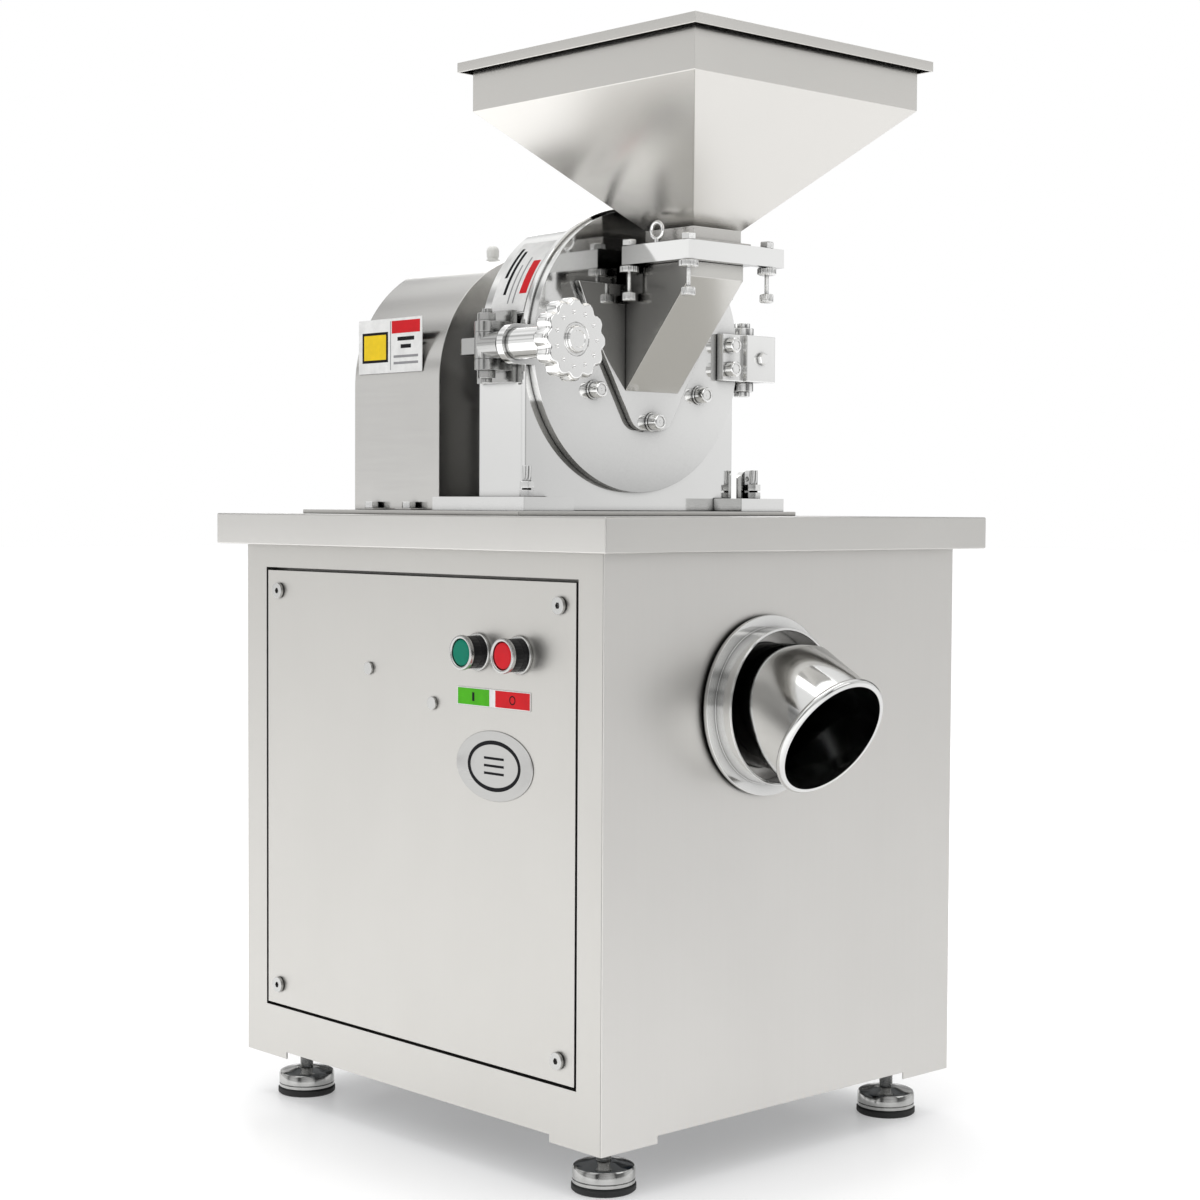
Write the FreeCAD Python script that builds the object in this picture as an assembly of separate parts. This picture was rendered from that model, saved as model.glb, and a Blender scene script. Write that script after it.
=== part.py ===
import FreeCAD, Part
import math
import os

# Hammer mill on a floor cabinet, in millimetres.
# While it is built, x runs from the cabinet's button side, y from its outlet face and z from its bottom edge.
# The last step moves everything so that the origin is under the middle of the whole mill, on the floor.

# ---- cabinet ----
cab_w = 550.0
cab_d = 625.0
cab_h = 606.6
sheet = 2.0
notch_h = 8.0
corner_tab = 79.0
post = 30.0
rail_h = 30.0
rail_lift = 10.0
gusset = 92.0
gusset_t = 8.0

# ---- table top ----
top_over_x = 25.0
top_over_y = 28.2
skirt_h = 36.0
top_t = 3.0

# ---- levelling feet ----
foot_drop = 52.0
foot_inset = 50.0
foot_pad_r = 34.0
foot_pad_h = 8.0
foot_disc_r = 33.0
foot_disc_h = 14.0
foot_cone_h = 8.0
foot_cone_r = 13.0
foot_stem_r = 8.0
foot_stem_up = 26.0
foot_nut = 24.0
foot_nut_h = 10.0
stem_gap = 0.3

# ---- access panel on the button side ----
open_near = 38.0
open_far = 39.0
open_bottom = 60.0
open_top = 27.1
panel_gap = 3.5
panel_fold = 12.0
seat_w = 48.0
seat_gap = 0.3
screw_inset = 27.0
panel_screw_r = 4.0
panel_head_r = 9.0
panel_head_h = 4.6
panel_head_round = 1.5
panel_socket = 6.0
screw_play = 0.5
nut_h = 8.0
bracket_screw_r = 3.0
bracket_head_r = 7.0
bracket_head_h = 3.4
bracket_near = 232.2
bracket_drop = 140.0
bracket_span = 113.6
bracket_rise = 31.5

# ---- buttons, label and badge, measured from the near top corner of the panel opening ----
stop_back = 89.0
button_pitch = 67.0
button_drop = 80.5
button_bore_r = 15.2
button_barrel_r = 15.0
button_barrel_in = 32.0
button_body_r = 17.3
button_reach = 26.0
bezel_r = 18.5
bezel_in_r = 14.6
bezel_t = 5.0
base_ring_r = 20.0
base_ring_t = 4.0
cap_r = 14.2
cap_t = 8.0
cap_recess = 1.5
cap_stem_r = 5.0
cap_travel = 4.0
running_gap = 0.05
contact_w = 30.0
contact_h = 44.0
contact_d = 36.0
label_back = 71.9
label_w = 118.6
label_drop = 119.0
label_h = 19.0
label_t = 0.8
badge_back = 129.5
badge_drop = 199.5
badge_half_w = 62.0
badge_half_h = 37.0
badge_t = 1.2
contactor_near = 218.0
contactor_w = 150.0
contactor_h = 130.0
contactor_d = 70.0
contactor_drop = 95.0

# ---- outlet ----
outlet_side = -42.0
outlet_drop = 163.6
outlet_r = 66.5
outlet_wall = 2.5
outlet_hole_gap = 0.5
elbow_out = 48.0
elbow_in = 40.0
spout_len = 57.0
spout_tilt = 30.0
bead_r = 4.2
collar_gap = 14.0
collar_wall = 3.0
collar_len = 30.0
collar_base_w = 12.5
collar_base_t = 9.0
collar_base_round = 6.3

# ---- mill position and grinding chamber ----
mill_side = 0.0
spindle_h = 187.4
base_t = 5.0
base_half_w = 220.0
base_front = 195.0
base_len = 395.0
channel_out = 206.0
channel_w = 73.0
channel_front = 202.0
channel_len = 158.0
channel_h = 15.4
channel_t = 4.0
lug_out = 180.0
lug_w = 21.0
lug_t = 8.0
lug_h = 34.0
lug_first = 238.0
lug_second = 278.0
lug_hole_r = 3.0
plate_y = 248.5
plate_t = 8.0
plate_half_w = 164.0
chamber_bore_r = 140.0
shell_r = 158.0
shell_t = 6.0
shell_len = 78.5
rear_plate_t = 6.0
floor_t = 6.0
screen_r = 145.0
screen_t = 3.0
screen_slots = 18
screen_slot_w = 3.0
screen_slot_len = 54.0
screen_arc = 170.0
shaft_r = 15.0
shaft_hole_r = 20.0

# ---- discharge duct under the chamber ----
throat_w = 112.0
throat_front = 266.0
throat_len = 56.0
duct_wall = 2.0
duct_w = 170.0
duct_top_drop = 14.6
duct_under = 4.5
duct_rear_drop = 34.0
duct_front = 38.0
duct_roof_drop = 82.6
duct_hole_gap = 1.0

# ---- bearings, shaft and belt drive ----
bearing_y = 345.0
bearing_w = 17.0
bearing_pitch = 43.0
bearing_r = 31.0
bearing_fit = 0.02
bearing_body_r = 48.0
bearing_flange_r = 68.0
bearing_flange_t = 8.0
pedestal_w = 84.0
pedestal_len = 50.0
drive_y = 455.0
drive_w = 50.0
shaft_tail = 14.0
big_pulley_r = 70.0
small_pulley_r = 58.0
groove_d = 9.0
groove_w = 13.0
groove_first = 7.0
groove_pitch = 23.0
belt_w = 12.0
belt_t = 8.0
belt_gap = 0.5
belt_slot_gap = 12.0

# ---- motor ----
motor_z = 200.0
motor_r = 97.0
motor_shaft_h = 112.0
motor_y = 165.0
motor_len = 240.0
motor_bell = 20.0
motor_bell_r = 80.0
motor_cowl_r = 99.0
motor_cowl_len = 45.0
motor_shaft_r = 14.0
motor_foot_w = 190.0
motor_foot_len = 160.0
motor_foot_t = 14.0
terminal_w = 90.0
terminal_h = 45.0
fin_count = 28
fin_h = 8.0
fin_t = 3.0
platform_t = 8.0
platform_len = 300.0
platform_w = 260.0
cross_w = 40.0

# ---- rotor ----
rotor_r = 108.0
rotor_disc_y = 286.0
rotor_disc_t = 12.0
rotor_hub_r = 34.0
rotor_front = 268.0
beater_count = 6
beater_r = 120.0
beater_root = 78.0
beater_w = 22.0
beater_front = 274.0
beater_len = 46.0

# ---- door ----
door_r = 161.0
door_t = 10.0
door_gap = 0.3
ear_half_h = 22.0
inlet_half_w = 37.0
inlet_low = 38.0
inlet_high = 70.0
stator_r = 134.0
stator_in_r = 100.0
stator_t = 16.0
feed_side = 12.0
flange_t = 8.0
flange_low = 90.0
flange_low_half = 26.0
flange_round = 23.4
flange_mid = 10.0
flange_mid_half = 84.0
flange_top = 74.0
flange_top_half = 114.0
door_bolt_out = 84.0
door_bolt_low = 46.0
door_bolt_bottom = 80.0
door_bolt_r = 9.0
door_bolt_h = 16.0
door_bolt_shank = 4.0
washer_r = 12.0
washer_t = 2.0
bolt_nut = 13.0

# ---- door hinge ----
hinge_out = 186.0
hinge_y = 254.0
hinge_pin_r = 6.0
hinge_head_r = 9.6
hinge_knuckle_r = 14.0
hinge_half_h = 28.0
hinge_lug_t = 10.0
hinge_plate_t = 8.0
hinge_plate_len = 68.0
hinge_plate_y = 262.0
hinge_arm_in = 60.0
hinge_arm_t = 10.0
hinge_cover = 50.0
hinge_cover_t = 6.0
cover_nut_h = 6.0
lug_play = 0.3

# ---- latch ----
latch_out = 185.0
sleeve_r = 17.5
sleeve_y = 185.0
sleeve_len = 67.0
clamp_r = 8.0
clamp_tip = 272.0
clevis_y = 290.0
clevis_pin_r = 6.0
clevis_r = 14.0
clevis_half_h = 15.0
clevis_lug_t = 12.0
clevis_plate_t = 8.0
clevis_plate_len = 60.0
clevis_plate_front = 20.0
clevis_nut = 18.0
clevis_nut_h = 9.0
clevis_plate_half_h = 40.0
socket_r = 15.0
socket_y = 258.0
socket_depth = 17.0
socket_play = 1.0
tail_len = 40.0
tail_w = 18.0
wheel_r = 45.0
wheel_t = 22.0
wheel_face = 142.0
wheel_lobes = 12
wheel_scallop = 7.5
wheel_hub_r = 15.0
wheel_boss_r = 14.0
wheel_boss_t = 4.0

# ---- feed chute and gate ----
feed_y = 165.0
chute_w = 84.0
chute_wall = 3.0
chute_low = 46.0
chute_lip = 17.0
gate_z = 94.0
gate_h = 21.0
gate_half_d = 53.0
gate_left = 60.0
gate_right = 93.0
rail_w = 14.0
blade_t = 3.4
blade_lift = 8.3
blade_play = 0.3
blade_side = 10.5
blade_tab_w = 46.0
gate_travel = 80.0
knob_r = 7.0
knob_h = 16.0
catch_r = 9.0
catch_wire = 2.2
catch_edge = 3.5
catch_lift = 4.4
catch_post_r = 3.3
stop_w = 20.0
stop_tip = 8.0
stop_h = 36.0
stop_t = 8.0

# ---- thumb screws of the gate frame ----
thumb_r = 3.5
thumb_head = 15.0
thumb_head_h = 7.0
thumb_nut_r = 11.0
thumb_nut_h = 9.0
thumb_stem_r = 2.6
thumb_end_r = 8.0
thumb_end_h = 10.0
thumb_drop = 40.0
thumb_play = 0.3
thumb_edge = 6.0
thumb_notch = 10.0
thumb_far = 22.0

# ---- hopper ----
neck_half = 38.0
neck_h = 17.0
hopper_t = 2.0
cone_h = 134.0
band_half = 176.0
band_h = 43.5
rim_half = 188.5
rim_h = 11.0
neck_flange = 46.0
neck_flange_t = 3.0

# ---- belt guard ----
guard_y = 409.0
guard_len = 162.0
guard_r = 157.0
guard_drop = 35.0
guard_t = 2.0
guard_hole_r = 62.0
guard_tab = 18.0
guard_tab_len = 30.0
guard_bolt_r = 5.0
guard_bolt_head = 15.0
cap_y = 500.0
oil_cap_r = 8.0
oil_cap_h = 20.0
sign_t = 0.8
sign_w = 112.0
sign_h = 64.0
sign_y = 440.0
sign_z = 162.0
band_sign_lo = 14.0
band_sign_hi = 50.0
band_sign_edge = 8.0
band_sign_len = 58.0

# ---- rear face ----
gland_side = -165.0
gland_z = 92.0
gland_r = 11.0
gland_bore_r = 6.0
gland_len = 20.0
gland_in = 8.0
gland_hex = 28.6
gland_hex_h = 6.7
louvre_count = 8
louvre_w = 260.0
louvre_h = 7.0
louvre_pitch = 20.0
louvre_z = 250.0

# ---- values that follow from the ones above ----
top_z = cab_h + skirt_h
top_under = top_z - top_t
base_z = top_z + base_t
channel_z = base_z + channel_h
mill_x = cab_w / 2 + mill_side
mill_z = top_z + spindle_h
feed_x = mill_x + feed_side
panel_top = cab_h - open_top
outlet_x = cab_w / 2 + outlet_side
outlet_z = cab_h - outlet_drop
collar_r = outlet_r + collar_gap + collar_wall
duct_top = cab_h - duct_top_drop
duct_roof = cab_h - duct_roof_drop
duct_low = outlet_z - outlet_r - duct_under
gland_x = cab_w / 2 + gland_side
panel_far = cab_d - open_far
button_z = panel_top - button_drop
stop_y = open_near + stop_back
start_y = stop_y + button_pitch
shell_y = plate_y + plate_t
shell_back = shell_y + shell_len
rear_plate_y = shell_back - rear_plate_t
door_back = plate_y - door_gap
door_y = door_back - door_t
flange_y = door_y - flange_t
hinge_x = mill_x + hinge_out
latch_x = mill_x - latch_out
frame_z = mill_z + gate_z
frame_top = frame_z + gate_h
gate_x0 = feed_x - gate_left
gate_x1 = feed_x + gate_right
gate_y0 = feed_y - gate_half_d
gate_y1 = feed_y + gate_half_d
guard_z = mill_z - guard_drop
platform_z = motor_z - motor_shaft_h
X = FreeCAD.Vector(1, 0, 0)
Y = FreeCAD.Vector(0, 1, 0)
Z = FreeCAD.Vector(0, 0, 1)
nodes = {}


def box(x0, x1, y0, y1, z0, z1):
    return Part.makeBox(x1 - x0, y1 - y0, z1 - z0, FreeCAD.Vector(x0, y0, z0))


def rod_x(x0, x1, y, z, r):
    return Part.makeCylinder(r, x1 - x0, FreeCAD.Vector(x0, y, z), X)


def rod_y(y0, y1, x, z, r):
    return Part.makeCylinder(r, y1 - y0, FreeCAD.Vector(x, y0, z), Y)


def rod_z(z0, z1, x, y, r):
    return Part.makeCylinder(r, z1 - z0, FreeCAD.Vector(x, y, z0), Z)


def prism(points, way):
    face = Part.Face(Part.makePolygon(points + [points[0]]))
    return face.extrude(way)


def prism_x(points, x0, x1):
    return prism([FreeCAD.Vector(x0, y, z) for y, z in points], X * (x1 - x0))


def prism_y(points, y0, y1):
    return prism([FreeCAD.Vector(x, y0, z) for x, z in points], Y * (y1 - y0))


def prism_z(points, z0, z1):
    return prism([FreeCAD.Vector(x, y, z0) for x, y in points], Z * (z1 - z0))


def hexagon(u, v, across):
    r = across / math.sqrt(3)
    turns = [math.radians(60 * i) for i in range(6)]
    return [(u + r * math.cos(turn), v + r * math.sin(turn)) for turn in turns]


def hex_x(x0, x1, y, z, across):
    return prism_x(hexagon(y, z, across), x0, x1)


def hex_y(y0, y1, x, z, across):
    return prism_y(hexagon(x, z, across), y0, y1)


def hex_z(z0, z1, x, y, across):
    return prism_z(hexagon(x, y, across), z0, z1)


def arch(y0, y1, half, centre_z, bottom):
    body = box(mill_x - half, mill_x + half, y0, y1, bottom, centre_z)
    crown = rod_y(y0, y1, mill_x, centre_z, half)
    crown = crown.common(box(mill_x - half, mill_x + half, y0, y1, centre_z, centre_z + half))
    return body.fuse(crown).removeSplitter()


def frustum(half0, z0, half1, z1):
    wires = []
    for half, z in ((half0, z0), (half1, z1)):
        corners = [(-half, -half), (half, -half), (half, half), (-half, half), (-half, -half)]
        wires.append(Part.makePolygon([FreeCAD.Vector(feed_x + u, feed_y + v, z) for u, v in corners]))
    return Part.makeLoft(wires, True, True)


def put(name, *solids):
    nodes[name] = [solid for shape in solids for solid in shape.Solids]


# ---- cabinet frame: posts, rails and corner gussets ----
frame_bars = []
post_x = (sheet, cab_w - sheet - post)
post_y = (sheet, cab_d - sheet - post)
foot_x = (foot_inset, cab_w - foot_inset)
foot_y = (foot_inset, cab_d - foot_inset)
gusset_x = (sheet, cab_w - sheet - gusset)
gusset_y = (sheet, cab_d - sheet - gusset)
gusset_top = rail_lift + gusset_t
for i in range(2):
    for j in range(2):
        frame_bars.append(box(post_x[i], post_x[i] + post, post_y[j], post_y[j] + post,
                              gusset_top, top_under))
        plate = box(gusset_x[i], gusset_x[i] + gusset, gusset_y[j], gusset_y[j] + gusset,
                    rail_lift, gusset_top)
        frame_bars.append(plate.cut(rod_z(0, cab_h, foot_x[i], foot_y[j], foot_stem_r + stem_gap)))
for low in (gusset_top, top_under - rail_h):
    for j in range(2):
        frame_bars.append(box(sheet + post, cab_w - sheet - post, post_y[j], post_y[j] + post,
                              low, low + rail_h))
        frame_bars.append(box(post_x[j], post_x[j] + post, sheet + post, cab_d - sheet - post,
                              low, low + rail_h))
put("cabinet_frame", *frame_bars)

# ---- cabinet panels, notched between the corner tabs ----
notch_x = box(corner_tab, cab_w - corner_tab, -sheet, cab_d + sheet, -sheet, notch_h)
notch_y = box(-sheet, cab_w + sheet, corner_tab, cab_d - corner_tab, -sheet, notch_h)
front = box(0, cab_w, 0, sheet, 0, top_under)
front = front.cut(rod_y(-sheet, sheet * 2, outlet_x, outlet_z, outlet_r + outlet_hole_gap)).cut(notch_x)
put("front_panel", front)
right = box(cab_w - sheet, cab_w, sheet, cab_d - sheet, 0, top_under).cut(notch_y)
put("right_panel", right)
rear = box(0, cab_w, cab_d - sheet, cab_d, 0, top_under).cut(notch_x)
rear = rear.cut(rod_y(cab_d - sheet * 2, cab_d + sheet, gland_x, gland_z, gland_r + outlet_hole_gap))
for i in range(louvre_count):
    low = louvre_z + i * louvre_pitch
    rear = rear.cut(box(mill_x - louvre_w / 2, mill_x + louvre_w / 2, cab_d - sheet * 2, cab_d + sheet,
                        low, low + louvre_h))
put("rear_panel", rear)

# ---- button side: face frame with a folded seat, and the access panel in it ----
seat_x = panel_fold + sheet
left = box(0, sheet, sheet, cab_d - sheet, 0, top_under).cut(notch_y)
left = left.fuse(box(0, seat_x + sheet, open_near - sheet, panel_far + sheet,
                     open_bottom - sheet, panel_top + sheet))
left = left.cut(box(-sheet, seat_x, open_near, panel_far, open_bottom, panel_top))
left = left.cut(box(0, seat_x + sheet * 2, open_near + seat_w, panel_far - seat_w,
                    open_bottom + seat_w, panel_top - seat_w))
screw_y = (open_near + screw_inset, panel_far - screw_inset)
screw_z = (open_bottom + screw_inset, panel_top - screw_inset)
panel = box(0, seat_x - seat_gap, open_near + panel_gap, panel_far - panel_gap,
            open_bottom + panel_gap, panel_top - panel_gap)
panel = panel.cut(box(sheet, seat_x, open_near + panel_gap + sheet, panel_far - panel_gap - sheet,
                      open_bottom + panel_gap + sheet, panel_top - panel_gap - sheet))
screws = []
for y in screw_y:
    for z in screw_z:
        hole = rod_x(-sheet, seat_x + sheet * 2, y, z, panel_screw_r + screw_play)
        left = left.cut(hole)
        panel = panel.cut(hole)
        head = rod_x(-panel_head_h, 0, y, z, panel_head_r)
        head = head.cut(hex_x(-panel_head_h, -sheet, y, z, panel_socket))
        head = head.makeFillet(panel_head_round, [head.Edges[0]])
        screws.append(head.fuse(rod_x(0, seat_x + sheet + nut_h, y, z, panel_screw_r)))
        nut = hex_x(seat_x + sheet, seat_x + sheet + nut_h, y, z, panel_head_r * 2)
        screws.append(nut.cut(rod_x(seat_x, seat_x + sheet + nut_h, y, z, panel_screw_r + running_gap)))
bracket_y = open_near + bracket_near
bracket_z = panel_top - bracket_drop
bracket_points = ((bracket_y, bracket_z), (bracket_y + bracket_span, bracket_z + bracket_rise))
for y, z in bracket_points:
    panel = panel.cut(rod_x(-sheet, sheet * 2, y, z, bracket_screw_r + screw_play))
    head = rod_x(-bracket_head_h, 0, y, z, bracket_head_r)
    screws.append(head.fuse(rod_x(0, sheet * 3, y, z, bracket_screw_r)))
for y in (stop_y, start_y):
    panel = panel.cut(rod_x(-sheet, sheet * 2, y, button_z, button_bore_r))
put("left_panel", left)
put("access_panel", panel)
put("panel_screws", *screws)

# ---- contactor box held on the back of the access panel by the two small screws ----
contactor_y = open_near + contactor_near
contactor_top = panel_top - contactor_drop
contactor = box(sheet, sheet + contactor_d, contactor_y, contactor_y + contactor_w,
                contactor_top - contactor_h, contactor_top)
for y, z in bracket_points:
    contactor = contactor.cut(rod_x(0, sheet * 3, y, z, bracket_screw_r + running_gap))
put("contactor_box", contactor)

# ---- start and stop buttons ----
bodies = []
rings = []
cap_face = -button_reach + cap_recess
for name, y in (("stop_cap", stop_y), ("start_cap", start_y)):
    body = rod_x(-button_reach + bezel_t, -base_ring_t, y, button_z, button_body_r)
    body = body.fuse(rod_x(-base_ring_t, button_barrel_in, y, button_z, button_barrel_r))
    body = body.cut(rod_x(-button_reach, cap_face + cap_t + cap_travel * 2, y, button_z, bezel_in_r))
    body = body.cut(rod_x(-button_reach, button_barrel_in - sheet, y, button_z, cap_stem_r + running_gap))
    block = box(button_barrel_in, button_barrel_in + contact_d, y - contact_w / 2, y + contact_w / 2,
                button_z - contact_h / 2, button_z + contact_h / 2)
    bodies += [body, block]
    bezel = rod_x(-button_reach, -button_reach + bezel_t, y, button_z, bezel_r)
    rings.append(bezel.cut(rod_x(-button_reach, 0, y, button_z, bezel_in_r)))
    ring = rod_x(-base_ring_t, 0, y, button_z, base_ring_r)
    rings.append(ring.cut(rod_x(-base_ring_t, 0, y, button_z, button_barrel_r)))
    cap = rod_x(cap_face, cap_face + cap_t, y, button_z, cap_r)
    stem_end = button_barrel_in - sheet - cap_travel * 2
    put(name, cap.fuse(rod_x(cap_face + cap_t, stem_end, y, button_z, cap_stem_r)))
put("button_bodies", *bodies)
put("button_bezels", *rings)
label_y = open_near + label_back
label_z = panel_top - label_drop
put("button_label", box(-label_t, 0, label_y, label_y + label_w, label_z - label_h, label_z))
oval = Part.Ellipse(FreeCAD.Vector(0, 0, 0), badge_half_w, badge_half_h).toShape()
badge = Part.Face(Part.Wire(oval)).extrude(Z * badge_t)
badge.rotate(FreeCAD.Vector(0, 0, 0), X, 90)
badge.rotate(FreeCAD.Vector(0, 0, 0), Z, -90)
badge.translate(FreeCAD.Vector(-badge.BoundBox.XMax, open_near + badge_back, panel_top - badge_drop))
put("badge", badge)

# ---- table top: folded tray on the cabinet, open where the duct and the belts pass ----
table = box(-top_over_x, cab_w + top_over_x, -top_over_y, cab_d + top_over_y, cab_h, top_z)
table = table.cut(box(top_t - top_over_x, cab_w + top_over_x - top_t, top_t - top_over_y,
                      cab_d + top_over_y - top_t, 0, top_under))
duct_x0 = mill_x - throat_w / 2 - duct_wall
duct_x1 = mill_x + throat_w / 2 + duct_wall
duct_y0 = throat_front - duct_wall
duct_y1 = throat_front + throat_len + duct_wall
duct_pass = box(duct_x0 - duct_hole_gap, duct_x1 + duct_hole_gap, duct_y0 - duct_hole_gap,
                duct_y1 + duct_hole_gap, cab_h, channel_z)
belt_half = big_pulley_r + belt_slot_gap
belt_pass = box(mill_x - belt_half, mill_x + belt_half, drive_y, drive_y + drive_w, cab_h, channel_z)
put("table_top", table.cut(duct_pass).cut(belt_pass))

# ---- outlet: base collar, and a mitred elbow with a rolled bead ----
collar = rod_y(-collar_len, 0, outlet_x, outlet_z, collar_r)
base_ring = rod_y(-collar_base_t, 0, outlet_x, outlet_z, collar_r + collar_base_w)
base_ring = base_ring.makeFillet(collar_base_round, [base_ring.Edges[0]])
collar = collar.fuse(base_ring).cut(rod_y(-collar_len, 0, outlet_x, outlet_z, collar_r - collar_wall))
put("outlet_collar", collar)
tilt = math.radians(spout_tilt)
spout_dir = FreeCAD.Vector(0, -math.cos(tilt), -math.sin(tilt))
mitre = FreeCAD.Vector(outlet_x, -elbow_out, outlet_z)
mitre_dir = FreeCAD.Vector(0, -math.cos(tilt / 2), -math.sin(tilt / 2))
reach = outlet_r * 3
half_space = Part.makeBox(reach * 2, reach * 2, reach * 2, FreeCAD.Vector(-reach, -reach, 0))
half_space.Placement = FreeCAD.Placement(mitre, FreeCAD.Rotation(Z, mitre_dir))


def elbow(r):
    first = rod_y(-elbow_out - reach, elbow_in, outlet_x, outlet_z, r).cut(half_space)
    start = mitre - spout_dir * reach
    second = Part.makeCylinder(r, reach + spout_len, start, spout_dir).common(half_space)
    return first.fuse(second)


spout_end = mitre + spout_dir * spout_len
bead = Part.makeTorus(outlet_r, bead_r, spout_end - spout_dir * bead_r, spout_dir)
spout_bore = Part.makeCylinder(outlet_r - outlet_wall, reach, spout_end - spout_dir * reach / 2, spout_dir)
bead = bead.cut(spout_bore)
put("outlet_elbow", elbow(outlet_r).fuse(bead).cut(elbow(outlet_r - outlet_wall)))

# ---- discharge duct from the chamber floor to the outlet ----
duct_back = duct_y1
duct_mid = duct_top - duct_rear_drop
duct_left = outlet_x - duct_w / 2
duct_right = max(outlet_x + duct_w / 2, duct_x1)
outer = [(duct_front, duct_low), (duct_back, duct_mid), (duct_back, duct_top), (duct_y0, duct_top),
         (duct_front, duct_roof)]
slope = (duct_mid - duct_low) / (duct_back - duct_front)
lift = duct_wall * math.sqrt(1 + slope * slope)
inner = [(duct_front + duct_wall, duct_low + lift + slope * duct_wall),
         (duct_back - duct_wall, duct_mid + lift - slope * duct_wall),
         (duct_back - duct_wall, duct_top - duct_wall), (duct_y0 + duct_wall, duct_top - duct_wall),
         (duct_front + duct_wall, duct_roof - duct_wall)]
duct = prism_x(outer, duct_left, duct_right)
duct = duct.fuse(box(duct_x0, duct_x1, duct_y0, duct_y1, duct_mid, channel_z))
duct = duct.cut(prism_x(inner, duct_left + duct_wall, duct_right - duct_wall))
duct = duct.cut(box(duct_x0 + duct_wall, duct_x1 - duct_wall, throat_front, throat_front + throat_len,
                    duct_mid + duct_wall, channel_z))
duct = duct.cut(rod_y(0, duct_front + duct_wall * 2, outlet_x, outlet_z, outlet_r + outlet_hole_gap))
put("discharge_duct", duct)

# ---- base plate, foot channels, and two lugs on the hinge side ----
base = box(mill_x - base_half_w, mill_x + base_half_w, base_front, base_front + base_len, top_z, base_z)
put("base_plate", base.cut(duct_pass).cut(belt_pass))
channels = []
lug_x = []
for side in (-1, 1):
    x0 = min(mill_x + side * channel_out, mill_x + side * (channel_out - channel_w))
    x1 = x0 + channel_w
    bar = box(x0, x1, channel_front, channel_front + channel_len, base_z, channel_z)
    channels.append(bar.cut(box(x0 + channel_t, x1 - channel_t, channel_front + channel_t,
                                channel_front + channel_len, base_z, channel_z - channel_t)))
    lug_x.append(mill_x + side * lug_out)
for y in (lug_first, lug_second):
    x = lug_x[1]
    tall = lug_h - lug_w / 2
    lug = box(x - lug_w / 2, x + lug_w / 2, y, y + lug_t, channel_z, channel_z + tall)
    lug = lug.fuse(rod_y(y, y + lug_t, x, channel_z + tall, lug_w / 2)).removeSplitter()
    channels.append(lug.cut(rod_y(y, y + lug_t, x, channel_z + tall, lug_hole_r)))
put("foot_brackets", *channels)

# ---- grinding chamber: flanged front plate, arched shell, floor and rear plate ----
plate_foot = channel_out - channel_w
front_plate = arch(plate_y, shell_y, plate_half_w, mill_z, channel_z)
plate_skirt = box(mill_x - plate_foot, mill_x + plate_foot, plate_y, shell_y, base_z, channel_z)
front_plate = front_plate.fuse(plate_skirt).removeSplitter()
front_plate = front_plate.cut(rod_y(plate_y, shell_y, mill_x, mill_z, chamber_bore_r))
put("chamber_plate", front_plate)
shell = arch(shell_y, shell_back, shell_r, mill_z, channel_z)
shell = shell.cut(arch(shell_y, rear_plate_y, shell_r - shell_t, mill_z, channel_z + floor_t))
shell = shell.cut(rod_y(rear_plate_y, shell_back, mill_x, mill_z, shaft_hole_r))
shell = shell.cut(box(duct_x0 + duct_wall, duct_x1 - duct_wall, throat_front, throat_front + throat_len,
                      channel_z, channel_z + floor_t))
put("chamber_shell", shell)
screen = rod_y(shell_y, rear_plate_y, mill_x, mill_z, screen_r)
screen = screen.cut(rod_y(shell_y, rear_plate_y, mill_x, mill_z, screen_r - screen_t))
slot_y = (shell_y + rear_plate_y - screen_slot_len) / 2
for i in range(screen_slots):
    slot = box(mill_x - screen_slot_w / 2, mill_x + screen_slot_w / 2, slot_y, slot_y + screen_slot_len,
               mill_z - screen_r - screen_t, mill_z - screen_r + screen_t * 2)
    turn = screen_arc * (i / (screen_slots - 1) - 0.5)
    slot.rotate(FreeCAD.Vector(mill_x, 0, mill_z), Y, turn)
    screen = screen.cut(slot)
put("screen_ring", screen)

# ---- bearing housing on its pedestal, with two bearings ----
bearing_end = bearing_y + bearing_pitch + bearing_w
housing = rod_y(shell_back, shell_back + bearing_flange_t, mill_x, mill_z, bearing_flange_r)
housing = housing.fuse(rod_y(shell_back, bearing_end, mill_x, mill_z, bearing_body_r))
housing = housing.fuse(box(mill_x - pedestal_w / 2, mill_x + pedestal_w / 2, shell_back + bearing_flange_t,
                           shell_back + bearing_flange_t + pedestal_len, base_z, mill_z))
housing = housing.cut(rod_y(shell_back, bearing_end, mill_x, mill_z, shaft_hole_r))
rings = []
for y in (bearing_y, bearing_y + bearing_pitch):
    housing = housing.cut(rod_y(y, y + bearing_w, mill_x, mill_z, bearing_r))
    race = rod_y(y, y + bearing_w, mill_x, mill_z, bearing_r - bearing_fit)
    rings.append(race.cut(rod_y(y, y + bearing_w, mill_x, mill_z, shaft_r + running_gap)))
put("bearing_housing", housing, *rings)

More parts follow.
